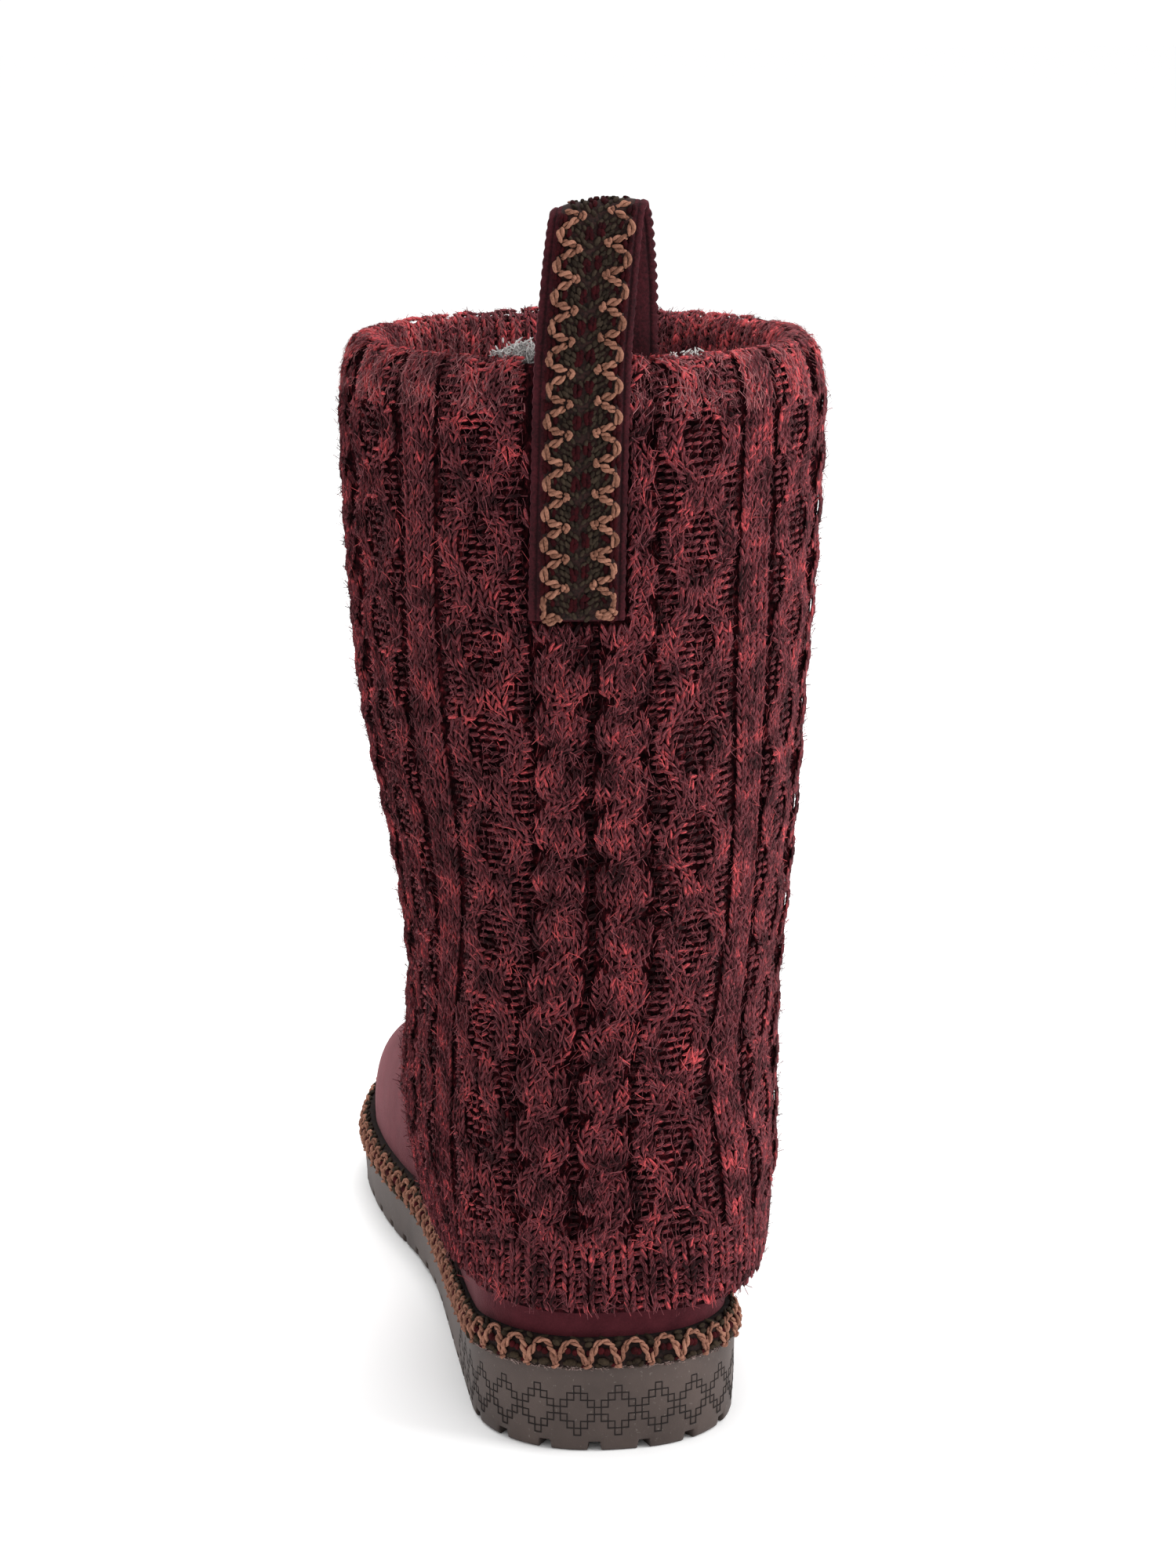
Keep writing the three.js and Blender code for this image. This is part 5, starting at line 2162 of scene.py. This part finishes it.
@dataclass
class Lining:
    """Woollen lining inside the collar, with tufts that show above its back rim."""

    sleeve: KnitSleeve
    fleece: Material
    top: float = 272.0
    low: float = 121.0
    thick: float = 1.6
    around: int = 168
    down: int = 36
    curls: int = 2700
    # Groups of tufts: share of the way round, spread, number and height
    groups: tuple[tuple, ...] = (
        (0.054, 0.007, 260, 3.6), (0.07, 0.007, 380, 5.6), (0.086, 0.005, 170, 3.0),
        (-0.05, 0.003, 40, 1.6), (-0.07, 0.006, 120, 2.2),
    )

    def gap(self, z: Array) -> Array:
        """Distance of the lining inside the plain sleeve at a height."""
        return np.interp(z, (121, 240, 262, 272), (5.4, 5.4, 9.0, 12.2))

    def inward(self, x: Array, s: Array, dx: Array, ds: Array) -> tuple[Array, Array]:
        """Unit step inwards.

        Args:
            x: Place on a ring.
            s: Place on it.
            dx: Direction of the ring there.
            ds: Direction of the ring there.

        Returns:
            The step's x and s.
        """
        nx, ns = -ds, dx
        turn = -np.sign(nx * x + ns * (s - HEEL_TO_AXIS)) / np.hypot(nx, ns)
        return nx * turn, ns * turn

    def tube(self) -> None:
        """The lining itself, held by the sleeve's wall."""
        c, d = np.arange(self.around) / self.around, 0.002
        waves = np.random.default_rng(5).uniform(0, TAU, (4, 2))
        outer, inner = [], []
        for z in np.linspace(self.low, self.top, self.down):
            level = np.full_like(c, z)
            curl = sum(
                np.sin(TAU * c * n + 0.33 * n * z / 4 + waves[i, 0])
                for i, n in enumerate((31, 47, 67, 89))
            ) * 0.22
            x, s = self.sleeve.ring(c, level)
            x1, s1 = self.sleeve.ring(c + d, level)
            x0, s0 = self.sleeve.ring(c - d, level)
            step_x, step_s = self.inward(x, s, x1 - x0, s1 - s0)
            for move, rings in ((self.gap(z), outer), (self.gap(z) + self.thick + curl, inner)):
                rings.append(to_metres(x + step_x * move, s + step_s * move, z))
        lining = skin("fleece_lining", outer + inner[::-1], self.fleece, tube=True)
        finish_piece(lining, Piece.FLEECE)

    def tufts(self) -> None:
        """Curled tufts of pile at the back of the collar."""
        rng = np.random.default_rng(8)
        w, tall = [], []
        for middle, spread, count, height in self.groups:
            w.append(rng.normal(middle, spread, count))
            tall.append(rng.uniform(0.1, 1, count) * height)
        w, tall = np.concatenate(w), np.concatenate(tall)
        count = len(w)
        row = self.sleeve.rows + rng.uniform(9.0, 12.5, count)
        here, around, _ = self.sleeve.frames(w, row, 0.6)
        here = here + np.stack([0 * w, 0 * w, tall * MM], axis=1)
        direction = rng.normal(0, 1, (count, 3)) + np.array([0, 0, 0.3])
        size = np.stack([0.5 + 0 * w, rng.uniform(1.4, 3.6, count), 0.5 + 0 * w], axis=1) * MM
        made = Scatter("fleece_tufts", Grain.SPINDLE, 4, 4).make(
            here, euler_of(around, direction), size, self.fleece,
            {"tone": rng.uniform(0, 1, count)},
        )
        finish_piece(made, Piece.FLEECE)

    def pile(self) -> None:
        """Short curls all over the upper part of the lining."""
        rng = np.random.default_rng(9)
        count, d = self.curls, 0.002
        w = rng.uniform(0, 1, count)
        z = self.top - 62 * rng.uniform(0, 1, count) ** 1.5
        gap = self.gap(z) + rng.uniform(1.4, 2.4, count)
        x, s = self.sleeve.ring(w, z)
        x1, s1 = self.sleeve.ring(w + d, z)
        step_x, step_s = self.inward(x, s, x1 - x, s1 - s)
        here = to_metres(x + step_x * gap, s + step_s * gap, z)
        across = to_metres(x1, s1, z) - to_metres(x, s, z)
        direction = across / np.linalg.norm(across, axis=1, keepdims=True)
        direction = direction * rng.normal(0, 1, (count, 1)) + rng.normal(0, 0.6, (count, 3))
        size = np.stack([0.7 + 0 * w, rng.uniform(1.8, 4.2, count), 0.7 + 0 * w], axis=1) * MM
        up = np.tile([0.0, 0.0, 1.0], (count, 1))
        made = Scatter("fleece_pile", Grain.SPINDLE, 3, 3).make(
            here, euler_of(up, direction), size, self.fleece, {"tone": rng.uniform(0, 1, count)}
        )
        finish_piece(made, Piece.FLEECE)

    def build(self) -> None:
        """Make and finish the lining's pieces."""
        self.tube()
        self.tufts()
        self.pile()


# Pull loop


@dataclass
class PullLoop:
    """Tape loop sewn to the back of the collar, with a braid down its outer face.

    Places along the braid are shares of a wave, and places across it millimetres from its middle.
    """

    wide: float = 24.5
    thick: float = 1.8
    tape_steps: int = 360
    scallop: float = 2.7
    seam_place: float = 0.86
    braid_wide: float = 20.0
    braid_lift: float = 1.25
    braid_from: float = 0.5
    braid_steps: int = 260
    first_wave: float = 2.6
    wave: float = 7.7
    outer_shift: float = 0.12
    cord: float = 0.98
    # Places across half the tape, closer together at its sewn line and its edge
    half_across: tuple[float, ...] = (0.35, 0.6, 0.8, 0.84, 0.86, 0.88, 0.92, 0.96, 1)
    # Strokes of a chain: start, middle and end of each, across and along
    strokes: tuple[tuple, ...] = (
        ((8.5, 0.02), (8.9, 0.25), (8.5, 0.48)), ((7.9, 0.5), (6.3, 0.6), (4.7, 0.71)),
        ((3.9, 0.68), (3.4, 0.79), (3.8, 0.9)), ((4.6, 0.88), (6.3, 0.95), (7.9, 0.99)),
    )
    # Strokes that lock a chain at the tape's lower end
    lock: tuple[tuple, ...] = (
        ((8.7, -0.2), (8.9, -0.1), (8.3, 0.02)), ((8.6, -0.27), (7.2, -0.3), (5.6, -0.25)),
        ((7.9, -0.17), (6.8, -0.16), (5.6, -0.17)), ((5.3, -0.3), (4.8, -0.22), (5.2, -0.12)),
    )
    # Knots of half the braid, across and along
    wine_cells: tuple[tuple[float, float], ...] = (
        (1.9, 0.1), (1.0, 0.16), (1.9, 0.3), (1.0, 0.34), (6.6, 0.3), (7.9, 0.78), (9.0, 0.7),
        (9.0, 0.85),
    )
    olive_cells: tuple[tuple[float, float], ...] = (
        (0.9, 0.45), (2.6, 0.4), (4.2, 0.1), (4.4, 0.3), (4.2, 0.5), (5.8, 0.12), (5.9, 0.45),
        (2.7, 0.0), (2.7, 0.2), (0.9, 0.85), (2.3, 0.62), (2.2, 0.95), (6.8, 0.3), (3.4, 0.22),
    )

    def __post_init__(self) -> None:
        """Measure the path."""
        rows = np.array(LOOP_ROWS, float)
        length = run_of(rows[:, 0], rows[:, 1])
        self.long = length[-1]
        self.apex = length[int(np.argmax(rows[:, 1]))]
        self.path = [Column(tuple(length), tuple(rows[:, k])) for k in range(4)]
        self.waves = int((self.long - 4) / self.wave)
        self.face = self.thick / 2
        self.braid_face = self.face + self.braid_lift

    def point(self, length: Array, across: Array, lift: Array) -> Array:
        """Point on the loop.

        Args:
            length: Length along the path from the lower outer end.
            across: Distance towards the inner side from the tape's middle.
            lift: Distance off the tape's middle, outwards.

        Returns:
            Points in metres.
        """
        length, across, lift = np.broadcast_arrays(length, across, lift)
        s, z, middle, hug = (column(length) for column in self.path)
        ds = self.path[0](length + 1.5) - self.path[0](length - 1.5)
        dz = self.path[1](length + 1.5) - self.path[1](length - 1.5)
        long = np.maximum(np.hypot(ds, dz), 1e-6)
        # The braid is pressed thinner where it goes over the top
        pressed = 1 - 0.62 * np.exp(-(((length - self.apex) / 8) ** 2))
        lift = np.minimum(lift, self.face) + np.maximum(lift - self.face, 0) * pressed
        level = np.minimum(z, COLLAR_START)
        bend = hug * (sleeve_back(middle + across, level) - sleeve_back(middle, level))
        crown = np.exp(-(((length - self.apex) / 13) ** 2))
        z = z - 1.9 * crown * np.clip((across + 3) / 15, 0, 1) ** 1.6
        return to_metres(middle + across, s + bend - dz / long * lift, z + ds / long * lift)

    def tape(self) -> None:
        """The tape, with a fine scalloped edge and a sewn line near it."""
        length = np.linspace(0, self.long, self.tape_steps)
        far = smooth((length - self.apex) / 6)
        scallop = mix(0.3, 0.75, far) * np.abs(np.sin(math.pi * length / self.scallop)) - 0.15
        half = self.wide / 2 - 0.25
        face, back, seam = [], [], []
        for u in (*(-u for u in self.half_across[::-1]), 0, *self.half_across):
            edge = smooth((abs(u) - 0.93) / 0.07)
            place = u * half + np.sign(u) * scallop * edge
            sewn = math.exp(-(((abs(u) - self.seam_place) / 0.022) ** 2))
            ripple = 0.05 * np.sin(TAU * length / 1.9 + u * 9)
            lift = self.face * (1 - 0.45 * edge) + ripple - 0.28 * sewn
            face.append(self.point(length, place, lift))
            back.append(self.point(length, place, -lift))
            seam.append(np.full(self.tape_steps, sewn))
        seams = np.stack(seam + seam[::-1], axis=1).ravel()
        made = strap("pull_loop_tape", face, back, Velvet().material(), {"seam": seams})
        finish_piece(made, Piece.TAPE, "pull_loop")

    def ground(self) -> None:
        """The dark ground of the braid."""
        length = np.linspace(self.braid_from, self.long - 0.6, self.braid_steps)
        face, back = [], []
        for a in np.linspace(-1, 1, 13):
            place = a * (self.braid_wide / 2 - 0.9)
            round_edge = math.sqrt(max(0.0, 1 - abs(a) ** 6))
            ripple = 0.14 * np.sin(TAU * length / 1.3 + abs(a) * 8)
            lift = self.face + 0.15 + 0.6 * round_edge + ripple
            face.append(self.point(length, place, lift))
            back.append(self.point(length, place, self.face + 0.08))
        dark = Plain("braid_ground", (20, 14, 12), (52, 30, 28), 1300, 0.95).material()
        finish_piece(strap("loop_braid_ground", face, back, dark), Piece.TRIM, "loop_braid")

    def chains(self) -> None:
        """The two tan zigzag chains of plump two-ply cord."""
        cords = Cords(np.random.default_rng(41), 0.0056)
        t, knots = np.linspace(0, 2, 10), (0, 1, 2)
        hump = np.sin(math.pi * t / 2)
        for side in (-1, 1):
            shift = 0.0 if side > 0 else self.outer_shift
            for n in range(-1, self.waves):
                for stroke in self.strokes if n >= 0 else self.lock:
                    points = np.array(stroke) + (0.0, max(0, -n))
                    wob = cords.rng.normal(0, 0.1, 2)
                    place = self.first_wave + (n + points[:, 1] + shift) * self.wave + wob[1]
                    across = np.interp(t, knots, side * (points[:, 0] + wob[0]))
                    length = np.interp(t, knots, place)
                    over = float(length.mean() - self.apex)
                    if abs(points[:, 0].mean()) > 8 and -1.5 < over < 5:
                        continue
                    calm = 1 - 0.3 * math.exp(-((over / 5) ** 2))
                    lift = self.braid_face + 0.1 + 0.55 * hump * calm
                    radius = self.cord * MM * (0.55 + 0.45 * hump**0.6) * calm
                    cords.lay(self.point(length, across, lift), radius)
        tan = Cord("tan_chain", (92, 60, 48), (150, 105, 87)).material()
        finish_piece(cords.sweep("loop_braid_chains", tan), Piece.TRIM)

    def knots(self, name: str, wine: bool, cord: Cord, seed: int) -> None:
        """Small knots between and beside the chains.

        Args:
            name: Piece's name.
            wine: Whether these are the wine-coloured knots or the olive ones.
            cord: Finish.
            seed: Seed of the small differences.
        """
        rng = np.random.default_rng(seed)
        if wine:
            cells = [(side * a, b) for a, b in self.wine_cells for side in (-1, 1)]
        else:
            cells = [(side * a, b) for side in (-1, 1) for a, b in self.olive_cells]
        across, along = [], []
        for n in range(-1, self.waves):
            for a, b in cells:
                shift = 0.0 if a > 0 else self.outer_shift
                across.append(a + rng.normal(0, 0.12))
                place = self.first_wave + (n + b + shift) * self.wave
                along.append(place + rng.normal(0, 0.15))
        a, b = np.array(across), np.array(along)
        keep = (b > self.braid_from) & (b < self.long - 1.5)
        a, b, base = a[keep], b[keep], self.braid_face
        right = self.point(b, a + 0.3, base) - self.point(b, a - 0.3, base)
        up = self.point(b + 0.3, a, base) - self.point(b - 0.3, a, base)
        angle = np.sign(a) * rng.normal(0.55, 0.25, len(a))
        if wine:
            angle = rng.normal(0, 0.25, len(a))
        angle = angle[:, None]
        direction = np.cos(angle) * up + np.sin(angle) * right
        flat = np.cos(angle) * right - np.sin(angle) * up
        grow = (1 + rng.normal(0, 0.1, len(a))) * (1.25 if wine else 1.0)
        size = grow[:, None] * np.array([1.15, 2.1, 1.0]) * MM
        made = Scatter(name, Grain.SPINDLE, 6, 4).make(
            self.point(b, a, base - 0.05), euler_of(flat, direction), size, cord.material(),
            {"tone": rng.uniform(0, 1, len(a))},
        )
        finish_piece(made, Piece.TRIM)

    def build(self) -> None:
        """Make and finish the loop's pieces."""
        self.tape()
        self.ground()
        self.chains()
        olive = Cord("olive_knot", (27, 21, 17), (57, 47, 38))
        self.knots("loop_olive_knots", False, olive, 3)
        self.knots("loop_wine_knots", True, Cord("wine_knot", (22, 4, 7), (50, 10, 14)), 4)


# Studio


@dataclass
class Studio:
    """Camera, pale floor and soft light, with places in metres and turns in degrees."""

    place: tuple[float, float, float] = (0.1424, 1.0229, 0.424)
    pitch: float = 76.04
    heading: float = 172.0
    lens: float = 90.6
    sensor: float = 36.0
    floor_half: float = 6.0
    floor_below: float = 0.00005
    floor_white: float = 0.97
    sky: float = 1.03
    aim: tuple[float, float, float] = (0.0, 0.0, 0.13)

    def camera(self) -> None:
        """The camera at the photograph's place."""
        data = bpy.data.cameras.new("camera")
        data.sensor_fit = "VERTICAL"
        data.sensor_height = self.sensor
        data.lens = self.lens
        data.clip_start, data.clip_end = 0.05, 20.0
        obj = bpy.data.objects.new("camera", data)
        obj.location = self.place
        obj.rotation_euler = (math.radians(self.pitch), 0.0, math.radians(self.heading))
        bpy.context.collection.objects.link(obj)
        bpy.context.scene.camera = obj

    def floor(self) -> None:
        """The pale floor, just under the sole."""
        far, low = self.floor_half, -self.floor_below
        corners = np.array([(-far, -far, low), (far, -far, low), (far, far, low), (-far, far, low)])
        m = Shader("floor")
        white = (self.floor_white,) * 3
        m.set(Base_Color=(*white, 1), Roughness=1.0, Specular_IOR_Level=0.0)
        made = mesh_object("floor", corners, np.array([[0, 1, 2, 3]]), m.material, None, False)

    def light(
        self, name: str, place: tuple[float, float, float], size: float, power: float
    ) -> None:
        """A square soft light aimed at the boot.

        Args:
            name: Its name.
            place: Where it stands, metres.
            size: Its side, metres.
            power: Its power, watts.
        """
        data = bpy.data.lights.new(name, "AREA")
        data.shape = "SQUARE"
        data.size = size
        data.energy = power
        obj = bpy.data.objects.new(name, data)
        obj.location = place
        towards = Vector(self.aim) - Vector(place)
        obj.rotation_euler = towards.to_track_quat("-Z", "Y").to_euler()
        bpy.context.collection.objects.link(obj)

    def build(self) -> None:
        """Set the stage."""
        self.camera()
        self.floor()
        world = bpy.data.worlds.new("studio")
        world.use_nodes = True
        node = world.node_tree.nodes["Background"]
        node.inputs["Color"].default_value = (1, 1, 1, 1)
        node.inputs["Strength"].default_value = self.sky
        bpy.context.scene.world = world
        bpy.context.scene.view_settings.view_transform = "Standard"
        self.light("key", (-1.4, 0.5, 1.0), 1.0, 23)
        self.light("top", (0.1, -0.75, 1.75), 1.3, 21)


def main() -> None:
    """Build the boot."""
    logging.basicConfig(level=logging.INFO, format="%(name)s: %(message)s")
    Studio().build()
    Sole().build()
    fleece = Fleece().material()
    Insole().build(fleece)
    SuedeFoot().build()
    Trim().build()
    sleeve = KnitSleeve()
    sleeve.build()
    Lining(sleeve, fleece).build()
    PullLoop().build()


if __name__ == "__main__":
    main()
